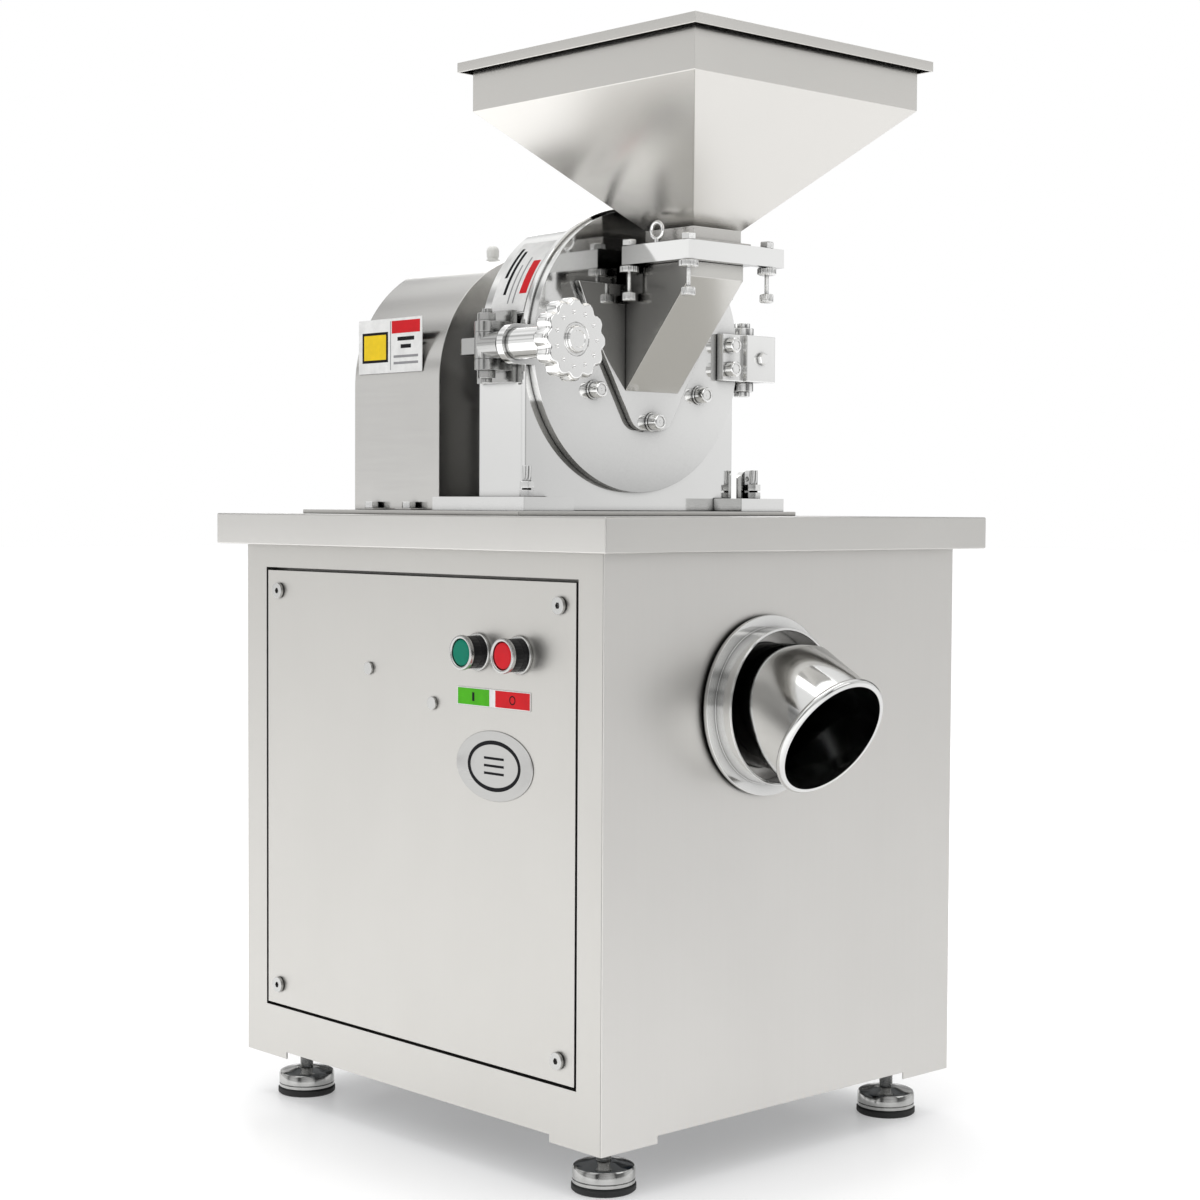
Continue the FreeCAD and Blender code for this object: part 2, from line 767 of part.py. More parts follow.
# ---- rotor: shaft, disc with beaters, and the driven pulley ----
shaft_end = drive_y + drive_w + shaft_tail
put("rotor_shaft", rod_y(rotor_front, shaft_end, mill_x, mill_z, shaft_r))
disc = rod_y(rotor_disc_y, rotor_disc_y + rotor_disc_t, mill_x, mill_z, rotor_r)
disc = disc.fuse(rod_y(rotor_front, beater_front + beater_len, mill_x, mill_z, rotor_hub_r))
for i in range(beater_count):
    beater = box(mill_x - beater_w / 2, mill_x + beater_w / 2, beater_front, beater_front + beater_len,
                 mill_z + beater_root, mill_z + beater_r)
    beater.rotate(FreeCAD.Vector(mill_x, 0, mill_z), Y, 360.0 * i / beater_count)
    disc = disc.fuse(beater)
put("rotor_disc", disc.cut(rod_y(rotor_front, shaft_end, mill_x, mill_z, shaft_r)))


def pulley(z, r, bore):
    wheel = rod_y(drive_y, drive_y + drive_w, mill_x, z, r)
    for i in range(2):
        y = drive_y + groove_first + i * groove_pitch
        ring = rod_y(y, y + groove_w, mill_x, z, r).cut(rod_y(y, y + groove_w, mill_x, z, r - groove_d))
        wheel = wheel.cut(ring)
    return wheel.cut(rod_y(drive_y, drive_y + drive_w, mill_x, z, bore))


put("driven_pulley", pulley(mill_z, big_pulley_r, shaft_r))

# ---- V-belts ----
def belt_loop(grow, y0, y1):
    r1 = big_pulley_r - groove_d + belt_gap + grow
    r2 = small_pulley_r - groove_d + belt_gap + grow
    gap = mill_z - motor_z
    nz = (r2 - r1) / gap
    nx = math.sqrt(1 - nz * nz)
    quad = [(mill_x + r1 * nx, mill_z - r1 * -nz), (mill_x + r2 * nx, motor_z - r2 * -nz),
            (mill_x - r2 * nx, motor_z - r2 * -nz), (mill_x - r1 * nx, mill_z - r1 * -nz)]
    loop = prism_y(quad, y0, y1)
    return loop.fuse([rod_y(y0, y1, mill_x, mill_z, r1), rod_y(y0, y1, mill_x, motor_z, r2)]).removeSplitter()


belts = []
for i in range(2):
    y = drive_y + groove_first + i * groove_pitch + (groove_w - belt_w) / 2
    belts.append(belt_loop(belt_t, y, y + belt_w).cut(belt_loop(0, y, y + belt_w)))
put("drive_belts", *belts)

# ---- motor on its platform ----
motor_end = motor_y + motor_len
motor = rod_y(motor_y, motor_end, mill_x, motor_z, motor_r - fin_h)
for i in range(fin_count):
    fin = box(mill_x - fin_t / 2, mill_x + fin_t / 2, motor_y, motor_end, motor_z + motor_r - fin_h * 2,
              motor_z + motor_r)
    fin.rotate(FreeCAD.Vector(mill_x, 0, motor_z), Y, 360.0 * i / fin_count)
    motor = motor.fuse(fin)
motor = motor.fuse(rod_y(motor_end, motor_end + motor_bell, mill_x, motor_z, motor_bell_r))
motor = motor.fuse(rod_y(motor_y - motor_cowl_len, motor_y, mill_x, motor_z, motor_cowl_r))
feet_y = (motor_y + motor_end - motor_foot_len) / 2
motor = motor.fuse(box(mill_x - motor_foot_w / 2, mill_x + motor_foot_w / 2, feet_y, feet_y + motor_foot_len,
                       platform_z, platform_z + motor_foot_t))
motor = motor.fuse(box(mill_x - motor_foot_w / 4, mill_x + motor_foot_w / 4, feet_y, feet_y + motor_foot_len,
                       platform_z, motor_z))
motor = motor.fuse(box(mill_x - terminal_w / 2, mill_x + terminal_w / 2, feet_y, feet_y + terminal_w,
                       motor_z, motor_z + motor_r + terminal_h))
motor = motor.cut(rod_y(motor_end - motor_bell, motor_end + motor_bell, mill_x, motor_z,
                        motor_shaft_r + running_gap))
put("motor", motor)
motor_axle = rod_y(motor_end - motor_bell, drive_y + drive_w + sheet, mill_x, motor_z, motor_shaft_r)
put("motor_shaft", motor_axle, pulley(motor_z, small_pulley_r, motor_shaft_r))
platform_y = feet_y + motor_foot_len / 2 - platform_len / 2
platform = box(mill_x - platform_w / 2, mill_x + platform_w / 2, platform_y, platform_y + platform_len,
               platform_z - platform_t, platform_z)
cross = [box(seat_x + sheet * 2, cab_w - seat_x - sheet * 2, y, y + cross_w,
             gusset_top + rail_h, platform_z - platform_t)
         for y in (platform_y, platform_y + platform_len - cross_w)]
put("motor_platform", platform, *cross)

# ---- belt guard, its tabs, and the oil cap ----
guard_back = guard_y + guard_len
guard = arch(guard_y, guard_back, guard_r, guard_z, base_z)
guard = guard.cut(arch(guard_y + guard_t, guard_back - guard_t, guard_r - guard_t, guard_z, base_z - guard_t))
guard = guard.cut(rod_y(guard_y, guard_y + guard_t, mill_x, mill_z, guard_hole_r))
bolts = []
tab_y = (guard_y + guard_tab_len, guard_back - guard_tab_len * 2)
for side in (-1, 1):
    x0 = min(mill_x + side * guard_r, mill_x + side * (guard_r + guard_tab))
    for y in tab_y:
        mid_x = x0 + guard_tab / 2
        mid_y = y + guard_tab_len / 2
        tab = box(x0, x0 + guard_tab, y, y + guard_tab_len, base_z, base_z + guard_t)
        guard = guard.fuse(tab.cut(rod_z(base_z, channel_z, mid_x, mid_y, guard_bolt_r + screw_play)))
        head = hex_z(base_z + guard_t, base_z + guard_t + guard_bolt_head / 2, mid_x, mid_y, guard_bolt_head)
        bolts.append(head.fuse(rod_z(base_z, base_z + guard_t, mid_x, mid_y, guard_bolt_r)))
put("belt_guard", guard)
put("oil_cap", rod_z(guard_z + guard_r, guard_z + guard_r + oil_cap_h, mill_x, cap_y, oil_cap_r))

# ---- studs with two nuts in front of the foot channels' first lugs ----
stud_y = lug_first - lug_w / 2
for x in lug_x:
    bolts.append(rod_z(channel_z, channel_z + lug_h, x, stud_y, guard_bolt_r))
    for low in (channel_z, channel_z + guard_bolt_head / 2 + sheet):
        nut = hex_z(low, low + guard_bolt_head / 2, x, stud_y, guard_bolt_head)
        bolts.append(nut.cut(rod_z(low, low + guard_bolt_head, x, stud_y, guard_bolt_r)))
put("mill_fasteners", *bolts)

# ---- plain plates for notices: one on the guard's side, one on the chamber's arch ----
sign_x = mill_x - guard_r
guard_sign = box(sign_x - sign_t, sign_x, sign_y, sign_y + sign_w, base_z + sign_z, base_z + sign_z + sign_h)
band_y = shell_y + band_sign_edge
band = rod_y(band_y, band_y + band_sign_len, mill_x, mill_z, shell_r + sign_t)
band = band.cut(rod_y(band_y, band_y + band_sign_len, mill_x, mill_z, shell_r))
wedge_r = shell_r * 1.5
wedge = [(mill_x, mill_z)]
for angle in (band_sign_lo, (band_sign_lo + band_sign_hi) / 2, band_sign_hi):
    turn = math.radians(angle)
    wedge.append((mill_x - wedge_r * math.cos(turn), mill_z + wedge_r * math.sin(turn)))
put("notice_plates", guard_sign, band.common(prism_y(wedge, band_y, band_y + band_sign_len)))

# ---- door: disc with the latch ear ----
inlet = box(feed_x - inlet_half_w, feed_x + inlet_half_w, flange_y, plate_y,
            mill_z - inlet_low, mill_z + inlet_high)
door = rod_y(door_y, door_back, mill_x, mill_z, door_r)
door = door.fuse(rod_y(door_y, door_back, latch_x, mill_z, ear_half_h))
door = door.fuse(box(latch_x, mill_x, door_y, door_back, mill_z - ear_half_h, mill_z + ear_half_h))
door = door.cut(inlet).cut(rod_y(door_y, door_back, latch_x, mill_z, sleeve_r))
stator = rod_y(door_back, door_back + stator_t, mill_x, mill_z, stator_r)
put("stator_ring", stator.cut(rod_y(door_back, door_back + stator_t, mill_x, mill_z, stator_in_r)))
v_shape = [(-flange_low_half, -flange_low), (flange_low_half, -flange_low), (flange_mid_half, flange_mid),
           (flange_top_half, flange_top), (-flange_top_half, flange_top), (-flange_mid_half, flange_mid)]
flange = prism_y([(feed_x + u, mill_z + w) for u, w in v_shape], flange_y, door_y)
low_edges = [e for e in flange.Edges if e.BoundBox.ZMax < mill_z - flange_low + 1 and e.BoundBox.YLength > 1]
flange = flange.makeFillet(flange_round, low_edges).cut(inlet)
door_bolts = []
bolt_points = [(feed_x - door_bolt_out, -door_bolt_low, door_y),
               (feed_x + door_bolt_out, -door_bolt_low, door_y),
               (feed_x, -door_bolt_bottom, flange_y)]
for x, drop, seat in bolt_points:
    z = mill_z + drop
    hole = rod_y(flange_y, door_back, x, z, door_bolt_shank + screw_play)
    door = door.cut(hole)
    flange = flange.cut(hole)
    head = rod_y(seat - washer_t - door_bolt_h, seat - washer_t, x, z, door_bolt_r)
    head = head.makeFillet(washer_t / 2, [head.Edges[0]])
    head = head.fuse(rod_y(seat - washer_t, seat, x, z, washer_r))
    door_bolts.append(head.fuse(rod_y(seat, door_back, x, z, door_bolt_shank)))
put("door_disc", door)
put("feed_flange", flange)

# ---- door hinge: bracket with two lugs and a pin, and the door's knuckle with its cover plate ----
lug_low = mill_z - hinge_half_h
lug_high = mill_z + hinge_half_h
shell_right = mill_x + shell_r
bracket = box(shell_right, shell_right + hinge_plate_t, hinge_plate_y, hinge_plate_y + hinge_plate_len,
              lug_low - hinge_lug_t, lug_high + hinge_lug_t)
for z in (lug_low - hinge_lug_t, lug_high):
    lug = rod_z(z, z + hinge_lug_t, hinge_x, hinge_y, hinge_knuckle_r)
    lug = lug.fuse(box(hinge_x - hinge_knuckle_r, hinge_x + hinge_knuckle_r, hinge_y,
                       hinge_plate_y + hinge_plate_len / 2, z, z + hinge_lug_t))
    lug = lug.fuse(box(shell_right, hinge_x, hinge_plate_y, hinge_plate_y + hinge_plate_len / 2,
                       z, z + hinge_lug_t))
    bracket = bracket.fuse(lug)
pin_low = lug_low - hinge_lug_t - hinge_pin_r
pin_high = lug_high + hinge_lug_t + hinge_pin_r
bracket = bracket.cut(rod_z(pin_low, pin_high, hinge_x, hinge_y, hinge_pin_r))
pin = rod_z(pin_low, pin_high, hinge_x, hinge_y, hinge_pin_r)
pin = pin.fuse(rod_z(lug_high + hinge_lug_t, pin_high, hinge_x, hinge_y, hinge_head_r))
pin = pin.fuse(rod_z(pin_low, lug_low - hinge_lug_t, hinge_x, hinge_y, hinge_head_r))
put("hinge_bracket", bracket, pin)
arm_low = lug_low + lug_play
arm_high = lug_high - lug_play
arm_y = door_y - hinge_arm_t
ear = box(hinge_x - hinge_arm_in, hinge_x + hinge_knuckle_r, arm_y, door_y, arm_low, arm_high)
ear = ear.fuse(box(hinge_x - hinge_knuckle_r, hinge_x + hinge_knuckle_r, arm_y, hinge_y, arm_low, arm_high))
ear = ear.fuse(rod_z(arm_low, arm_high, hinge_x, hinge_y, hinge_knuckle_r))
cover_mid = (arm_low + arm_high) / 2
ear = ear.fuse(box(hinge_x - hinge_cover / 2, hinge_x + hinge_cover / 2, arm_y - hinge_cover_t, arm_y,
                   arm_low, arm_high))
ear = ear.cut(rod_z(arm_low, arm_high, hinge_x, hinge_y, hinge_pin_r + running_gap))
put("hinge_ear", ear.removeSplitter())
ear_bolt_x = hinge_x - hinge_arm_in + washer_r
for drop in (-hinge_half_h / 2, hinge_half_h / 2):
    head = rod_y(arm_y - washer_r, arm_y, ear_bolt_x, mill_z + drop, door_bolt_r)
    door_bolts.append(head.makeFillet(washer_t / 2, [head.Edges[0]]))
cover_y = arm_y - hinge_cover_t
door_bolts.append(hex_y(cover_y - cover_nut_h, cover_y, hinge_x, mill_z, bolt_nut))
put("door_bolts", *door_bolts)

# ---- latch: clevis with its pin, swinging socket block, sleeve, clamp screw and handwheel ----
shell_left = mill_x - shell_r
clevis_front = clevis_y - clevis_plate_front
clevis = box(shell_left - clevis_plate_t, shell_left, clevis_front, clevis_front + clevis_plate_len,
             mill_z - clevis_plate_half_h, mill_z + clevis_plate_half_h)
for z in (mill_z - clevis_half_h - clevis_lug_t, mill_z + clevis_half_h):
    lug = rod_z(z, z + clevis_lug_t, latch_x, clevis_y, clevis_r)
    clevis = clevis.fuse(lug.fuse(box(latch_x, shell_left, clevis_y - clevis_r, clevis_y + clevis_r,
                                      z, z + clevis_lug_t)))
pin_reach = clevis_half_h + clevis_lug_t
clevis = clevis.cut(rod_z(mill_z - pin_reach, mill_z + pin_reach, latch_x, clevis_y, clevis_pin_r))
pin = rod_z(mill_z - pin_reach - clevis_r, mill_z + pin_reach + clevis_r, latch_x, clevis_y, clevis_pin_r)
nuts = []
for z in (mill_z - pin_reach - clevis_nut_h, mill_z + pin_reach):
    nut = hex_z(z, z + clevis_nut_h, latch_x, clevis_y, clevis_nut)
    nuts.append(nut.cut(rod_z(z, z + clevis_r, latch_x, clevis_y, clevis_pin_r)))
put("latch_clevis", clevis, pin, *nuts)
eye_half = clevis_half_h - lug_play
eye = rod_z(mill_z - eye_half, mill_z + eye_half, latch_x, clevis_y, clevis_r)
eye = eye.fuse(rod_y(socket_y, clevis_y, latch_x, mill_z, eye_half))
eye = eye.fuse(box(latch_x - tail_w / 2, latch_x + tail_w / 2, clevis_y, clevis_y + tail_len - tail_w / 2,
                   mill_z - tail_w / 2, mill_z + tail_w / 2))
eye = eye.fuse(rod_z(mill_z - tail_w / 2, mill_z + tail_w / 2, latch_x, clevis_y + tail_len - tail_w / 2,
                     tail_w / 2))
eye = eye.cut(rod_y(socket_y, socket_y + socket_depth, latch_x, mill_z, clamp_r + socket_play))
put("latch_eye", eye.cut(rod_z(mill_z - eye_half, mill_z + eye_half, latch_x, clevis_y,
                               clevis_pin_r + running_gap)))
sleeve = rod_y(sleeve_y, sleeve_y + sleeve_len, latch_x, mill_z, sleeve_r)
sleeve_bore = rod_y(sleeve_y, sleeve_y + sleeve_len, latch_x, mill_z, clamp_r + running_gap)
put("latch_sleeve", sleeve.cut(sleeve_bore))
wheel_back = wheel_face + wheel_t
wheel = rod_y(wheel_face, wheel_back, latch_x, mill_z, wheel_r)
for i in range(wheel_lobes):
    turn = 2 * math.pi * i / wheel_lobes
    x = latch_x + (wheel_r + wheel_scallop / 2) * math.cos(turn)
    z = mill_z + (wheel_r + wheel_scallop / 2) * math.sin(turn)
    wheel = wheel.cut(rod_y(wheel_face, wheel_back, x, z, wheel_scallop))
wheel = wheel.fuse(rod_y(wheel_face - wheel_boss_t, wheel_face, latch_x, mill_z, wheel_boss_r))
wheel = wheel.fuse(rod_y(wheel_back, sleeve_y - lug_play, latch_x, mill_z, wheel_hub_r))
wheel = wheel.cut(rod_y(wheel_face, sleeve_y, latch_x, mill_z, clamp_r))
put("handwheel", wheel)
put("clamp_screw", rod_y(wheel_face, clamp_tip, latch_x, mill_z, clamp_r))

# ---- feed chute on the door ----
chute_x0 = feed_x - chute_w / 2
chute_x1 = feed_x + chute_w / 2
chute_y = feed_y - neck_half
chute_bottom = mill_z - chute_low
lip_z = frame_z - chute_lip
chute = prism_x([(flange_y, chute_bottom), (flange_y, frame_z), (chute_y, frame_z), (chute_y, lip_z)],
                chute_x0, chute_x1)
slope = (lip_z - chute_bottom) / (flange_y - chute_y)
lift = chute_wall * math.sqrt(1 + slope * slope)
hollow = [(flange_y, chute_bottom + lift), (flange_y, frame_z - chute_wall),
          (chute_y + chute_wall, frame_z - chute_wall),
          (chute_y + chute_wall, lip_z + lift - slope * chute_wall)]
chute = chute.cut(prism_x(hollow, chute_x0 + chute_wall, chute_x1 - chute_wall))
throat_half = neck_half - hopper_t
throat = box(feed_x - throat_half, feed_x + throat_half, feed_y - throat_half, feed_y + throat_half,
             lip_z, frame_top)
put("feed_chute", chute.cut(throat))

# ---- gate frame with the blade slot, hanging stop lug and hopper catch ----
gate = box(gate_x0, gate_x1, gate_y0, gate_y1, frame_z, frame_top).cut(throat)
gate = gate.cut(box(feed_x + gate_half_d, gate_x1, gate_y0 + rail_w, gate_y1 - rail_w, frame_z, frame_top))
slot_z = frame_z + blade_lift
blade_y0 = gate_y0 + blade_side
blade_y1 = gate_y1 - blade_side
slot_x = feed_x - throat_half - blade_side / 2
gate = gate.cut(box(slot_x, gate_x1, blade_y0, blade_y1, slot_z, slot_z + blade_t + blade_play * 2))
blade_x0 = slot_x + blade_play
blade_z = slot_z + blade_play
blade = box(blade_x0, feed_x + gate_half_d, blade_y0 + blade_play, blade_y1 - blade_play,
            blade_z, blade_z + blade_t)
tab_half = blade_tab_w / 2
blade = blade.fuse(box(feed_x + gate_half_d, gate_x1 + blade_t, feed_y - tab_half, feed_y + tab_half,
                       blade_z, blade_z + blade_t))
knob_x = gate_x1 - knob_r * 2
blade = blade.fuse(rod_z(blade_z + blade_t, blade_z + blade_t + knob_h, knob_x, feed_y, knob_r))
put("slide_gate", blade.removeSplitter())
stop_y0 = feed_y - stop_w
stop = prism_x([(stop_y0, frame_z), (stop_y0 + (stop_w - stop_tip) / 2, frame_z - stop_h),
                (stop_y0 + (stop_w + stop_tip) / 2, frame_z - stop_h), (stop_y0 + stop_w, frame_z)],
               chute_x1, chute_x1 + stop_t)
thumb_x = (gate_x0 + thumb_edge, gate_x1 - thumb_far)
thumb_y = (gate_y0 + thumb_edge, gate_y1 - thumb_edge)
number = 0
for x in thumb_x:
    for y in thumb_y:
        number += 1
        gate = gate.cut(rod_z(frame_z, frame_top, x, y, thumb_r + thumb_play))
        bar = rod_z(frame_z, frame_top, x, y, thumb_r)
        head = hex_z(frame_top + thumb_play, frame_top + thumb_play + thumb_head_h, x, y, thumb_head)
        shank = bar.fuse(rod_z(frame_top, frame_top + thumb_play, x, y, thumb_r))
        nut_top = frame_z - thumb_play
        nut = rod_z(nut_top - thumb_nut_h, nut_top, x, y, thumb_nut_r)
        neck = rod_z(nut_top, frame_z, x, y, thumb_r)
        stem = rod_z(nut_top - thumb_drop + thumb_end_h, nut_top - thumb_nut_h, x, y, thumb_stem_r)
        end = rod_z(nut_top - thumb_drop, nut_top - thumb_drop + thumb_end_h, x, y, thumb_end_r)
        put("thumb_screw_%d" % number, head.fuse([shank, neck, nut, stem, end]).removeSplitter())
catch_x = gate_x0 + catch_edge
catch_z = frame_top + catch_r + catch_lift
catch = Part.makeTorus(catch_r, catch_wire, FreeCAD.Vector(catch_x, feed_y, catch_z), X)
foot = rod_z(frame_top, catch_z - catch_r, catch_x, feed_y, catch_post_r)
put("gate_frame", gate, stop, catch.fuse(foot))

# ---- hopper: bolted flange, neck, pyramid, straight band and folded rim ----
cone_z = frame_top + neck_h
band_z = cone_z + cone_h
rim_z = band_z + band_h
inner_end = rim_z + rim_h
hopper = frustum(neck_half, frame_top, neck_half, cone_z)
hopper = hopper.fuse(frustum(neck_flange, frame_top, neck_flange, frame_top + neck_flange_t))
hopper = hopper.fuse(frustum(neck_half, cone_z, band_half, band_z))
hopper = hopper.fuse(frustum(band_half, band_z, band_half, rim_z))
hopper = hopper.fuse(frustum(rim_half, rim_z, rim_half, inner_end))
lean = hopper_t * (math.sqrt(1 + (band_half - neck_half) ** 2 / cone_h ** 2) - 1)
hopper = hopper.cut(frustum(throat_half, frame_top, throat_half, cone_z))
hopper = hopper.cut(frustum(throat_half, cone_z, band_half - hopper_t, band_z + lean))
hopper = hopper.cut(frustum(band_half - hopper_t, band_z + lean, band_half - hopper_t, rim_z))
hopper = hopper.cut(frustum(band_half - hopper_t, rim_z, band_half - hopper_t, inner_end))
rim_hollow = frustum(rim_half - hopper_t, rim_z, rim_half - hopper_t, inner_end - hopper_t)
hopper = hopper.cut(rim_hollow.cut(frustum(band_half, rim_z, band_half, inner_end)))
for x in thumb_x[:1]:
    for y in thumb_y:
        hopper = hopper.cut(rod_z(frame_top, frame_top + neck_flange_t, x, y, thumb_notch))
put("hopper", hopper)

# ---- cable gland on the rear panel ----
gland = rod_y(cab_d - gland_in, cab_d + gland_len, gland_x, gland_z, gland_r)
gland = gland.fuse(hex_y(cab_d, cab_d + gland_hex_h, gland_x, gland_z, gland_hex))
put("cable_gland", gland.cut(rod_y(0, cab_d + gland_len, gland_x, gland_z, gland_bore_r)))

# ---- levelling feet ----
number = 0
for x in foot_x:
    for y in foot_y:
        number += 1
        pad_top = foot_pad_h - foot_drop
        pad = rod_z(-foot_drop, pad_top, x, y, foot_pad_r)
        pad = pad.makeFillet(sheet, [pad.Edges[0], pad.Edges[2]])
        foot = rod_z(pad_top, pad_top + foot_disc_h, x, y, foot_disc_r)
        foot = foot.makeFillet(sheet, [foot.Edges[0]])
        cone_base = pad_top + foot_disc_h
        foot = foot.fuse(Part.makeCone(foot_disc_r - sheet * 2, foot_cone_r, foot_cone_h,
                                       FreeCAD.Vector(x, y, cone_base), Z))
        stem_top = gusset_top + foot_stem_up
        foot = foot.fuse(rod_z(cone_base, stem_top, x, y, foot_stem_r))
        nut_top = rail_lift - stem_gap
        foot = foot.fuse(hex_z(nut_top - foot_nut_h, nut_top, x, y, foot_nut))
        put("foot_%d" % number, pad, foot)

# ---- move the whole mill over the origin and write one file per node ----
whole = FreeCAD.BoundBox()
for solids in nodes.values():
    for solid in solids:
        whole.add(solid.optimalBoundingBox(False, False))
home = FreeCAD.Vector(-whole.Center.x, -whole.Center.y, -whole.ZMin)
os.makedirs("parts", exist_ok=True)
for name, solids in nodes.items():
    shape = solids[0] if len(solids) == 1 else Part.makeCompound(solids)
    shape.translate(home)
    shape.exportStep("parts/" + name + ".step")
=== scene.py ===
import bpy
import bmesh
import math
from mathutils import Matrix, Vector


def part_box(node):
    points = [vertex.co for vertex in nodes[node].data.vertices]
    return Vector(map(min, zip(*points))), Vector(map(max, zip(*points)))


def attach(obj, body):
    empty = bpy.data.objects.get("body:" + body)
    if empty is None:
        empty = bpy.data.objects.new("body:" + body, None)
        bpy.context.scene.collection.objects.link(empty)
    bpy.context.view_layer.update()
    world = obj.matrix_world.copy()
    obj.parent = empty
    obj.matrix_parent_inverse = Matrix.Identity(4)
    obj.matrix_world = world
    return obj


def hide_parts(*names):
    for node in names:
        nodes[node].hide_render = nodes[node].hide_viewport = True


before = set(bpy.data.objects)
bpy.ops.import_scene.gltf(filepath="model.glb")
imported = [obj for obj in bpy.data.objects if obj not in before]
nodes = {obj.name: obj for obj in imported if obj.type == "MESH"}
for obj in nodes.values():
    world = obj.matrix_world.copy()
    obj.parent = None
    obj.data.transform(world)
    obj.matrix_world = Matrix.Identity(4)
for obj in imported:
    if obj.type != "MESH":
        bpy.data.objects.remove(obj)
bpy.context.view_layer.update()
scene = bpy.context.scene
MM = 0.001

# The ways that turned profiles run.
UP = (0, 0, 1)
LEFT = (-1, 0, 0)
FRONT = (0, -1, 0)

# Shader measures, in metres or in the noise's own scale. The seam shade is painted shade: a fine dark line
# where surfaces meet.
EVEN = (1.0, 1.0, 1.0)
CREVICE_SAMPLES = 6
SEAM_SHADE_REACH = 0.005
SEAM_SHADE_TONE = 0.20
PLASTIC_SHADE_REACH = 0.006
PLASTIC_SHADE_TONE = 0.6
CLOUD_SCALE = 3.0
SMEAR_SCALE = 16.0
WAVE_SCALE = 8.0
SPOT_SCALE = 60.0
WAVE_DEPTH = 0.002
GRAIN_DEPTH = 0.0003
GLOSSIEST = 0.02
COAT_ROUGH = 0.08

# Edges: angles in degrees, widths in mm. A profile's point on its axis is THINNEST wide, so that it has faces.
SHARP_ANGLE = 32
FLAT_ANGLE = 0.4
FRAME_EDGE_ANGLE = 38
TURNED_EDGE_ANGLE = 40
PLAIN_EDGE = 0.3
WELD_GAP = 0.02
THINNEST = 0.01


# ---------------------------------------------------------------- shader helpers
def new_material(name):
    mat = bpy.data.materials.new(name)
    mat.use_nodes = True
    tree = mat.node_tree
    return mat, tree, tree.nodes["Principled BSDF"]


def node(tree, kind, **values):
    made = tree.nodes.new(kind)
    for key, value in values.items():
        setattr(made, key, value)
    return made


def grey(v):
    return (v, v, v)


def ramp(tree, source, stops, mode="LINEAR"):
    made = node(tree, "ShaderNodeValToRGB")
    made.color_ramp.interpolation = mode
    ends = made.color_ramp.elements
    while len(ends) < len(stops):
        ends.new(0.5)
    for end, (place, colour) in zip(ends, stops):
        end.position = place
        end.color = (*colour, 1.0)
    tree.links.new(source, made.inputs["Fac"])
    return made.outputs["Color"]


def noise(tree, scale, stretch=EVEN, detail=4.0, rough=0.5, distortion=0.0):
    coord = node(tree, "ShaderNodeTexCoord")
    mapping = node(tree, "ShaderNodeMapping")
    mapping.inputs["Scale"].default_value = stretch
    tex = node(tree, "ShaderNodeTexNoise")
    tex.inputs["Scale"].default_value = scale
    tex.inputs["Detail"].default_value = detail
    tex.inputs["Roughness"].default_value = rough
    tex.inputs["Distortion"].default_value = distortion
    tree.links.new(coord.outputs["Object"], mapping.inputs["Vector"])
    tree.links.new(mapping.outputs["Vector"], tex.inputs["Vector"])
    return tex.outputs["Fac"]


def multiply(tree, first, second):
    mix = node(tree, "ShaderNodeMix", data_type="RGBA", blend_type="MULTIPLY")
    mix.inputs["Factor"].default_value = 1.0
    tree.links.new(first, mix.inputs["A"])
    tree.links.new(second, mix.inputs["B"])
    return mix.outputs["Result"]


def crevice_shade(tree, reach, floor_tone, clear=0.72):
    """Painted shade: darker where surfaces meet or face each other closely."""
    shade = node(tree, "ShaderNodeAmbientOcclusion", samples=CREVICE_SAMPLES)
    shade.inputs["Distance"].default_value = reach
    return ramp(tree, shade.outputs["AO"], [(0.2, grey(floor_tone)), (clear, grey(1.0))])


def map_range(tree, source, places, values):
    made = node(tree, "ShaderNodeMapRange")
    tree.links.new(source, made.inputs["Value"])
    for key, value in zip(("From Min", "From Max", "To Min", "To Max"), (*places, *values)):
        made.inputs[key].default_value = value
    return made.outputs["Result"]


def bump(tree, shader, height, strength, distance, chain=None):
    made = node(tree, "ShaderNodeBump")
    made.inputs["Strength"].default_value = strength
    made.inputs["Distance"].default_value = distance
    tree.links.new(height, made.inputs["Height"])
    if chain is not None:
        tree.links.new(chain, made.inputs["Normal"])
    tree.links.new(made.outputs["Normal"], shader.inputs["Normal"])
    return made.outputs["Normal"]


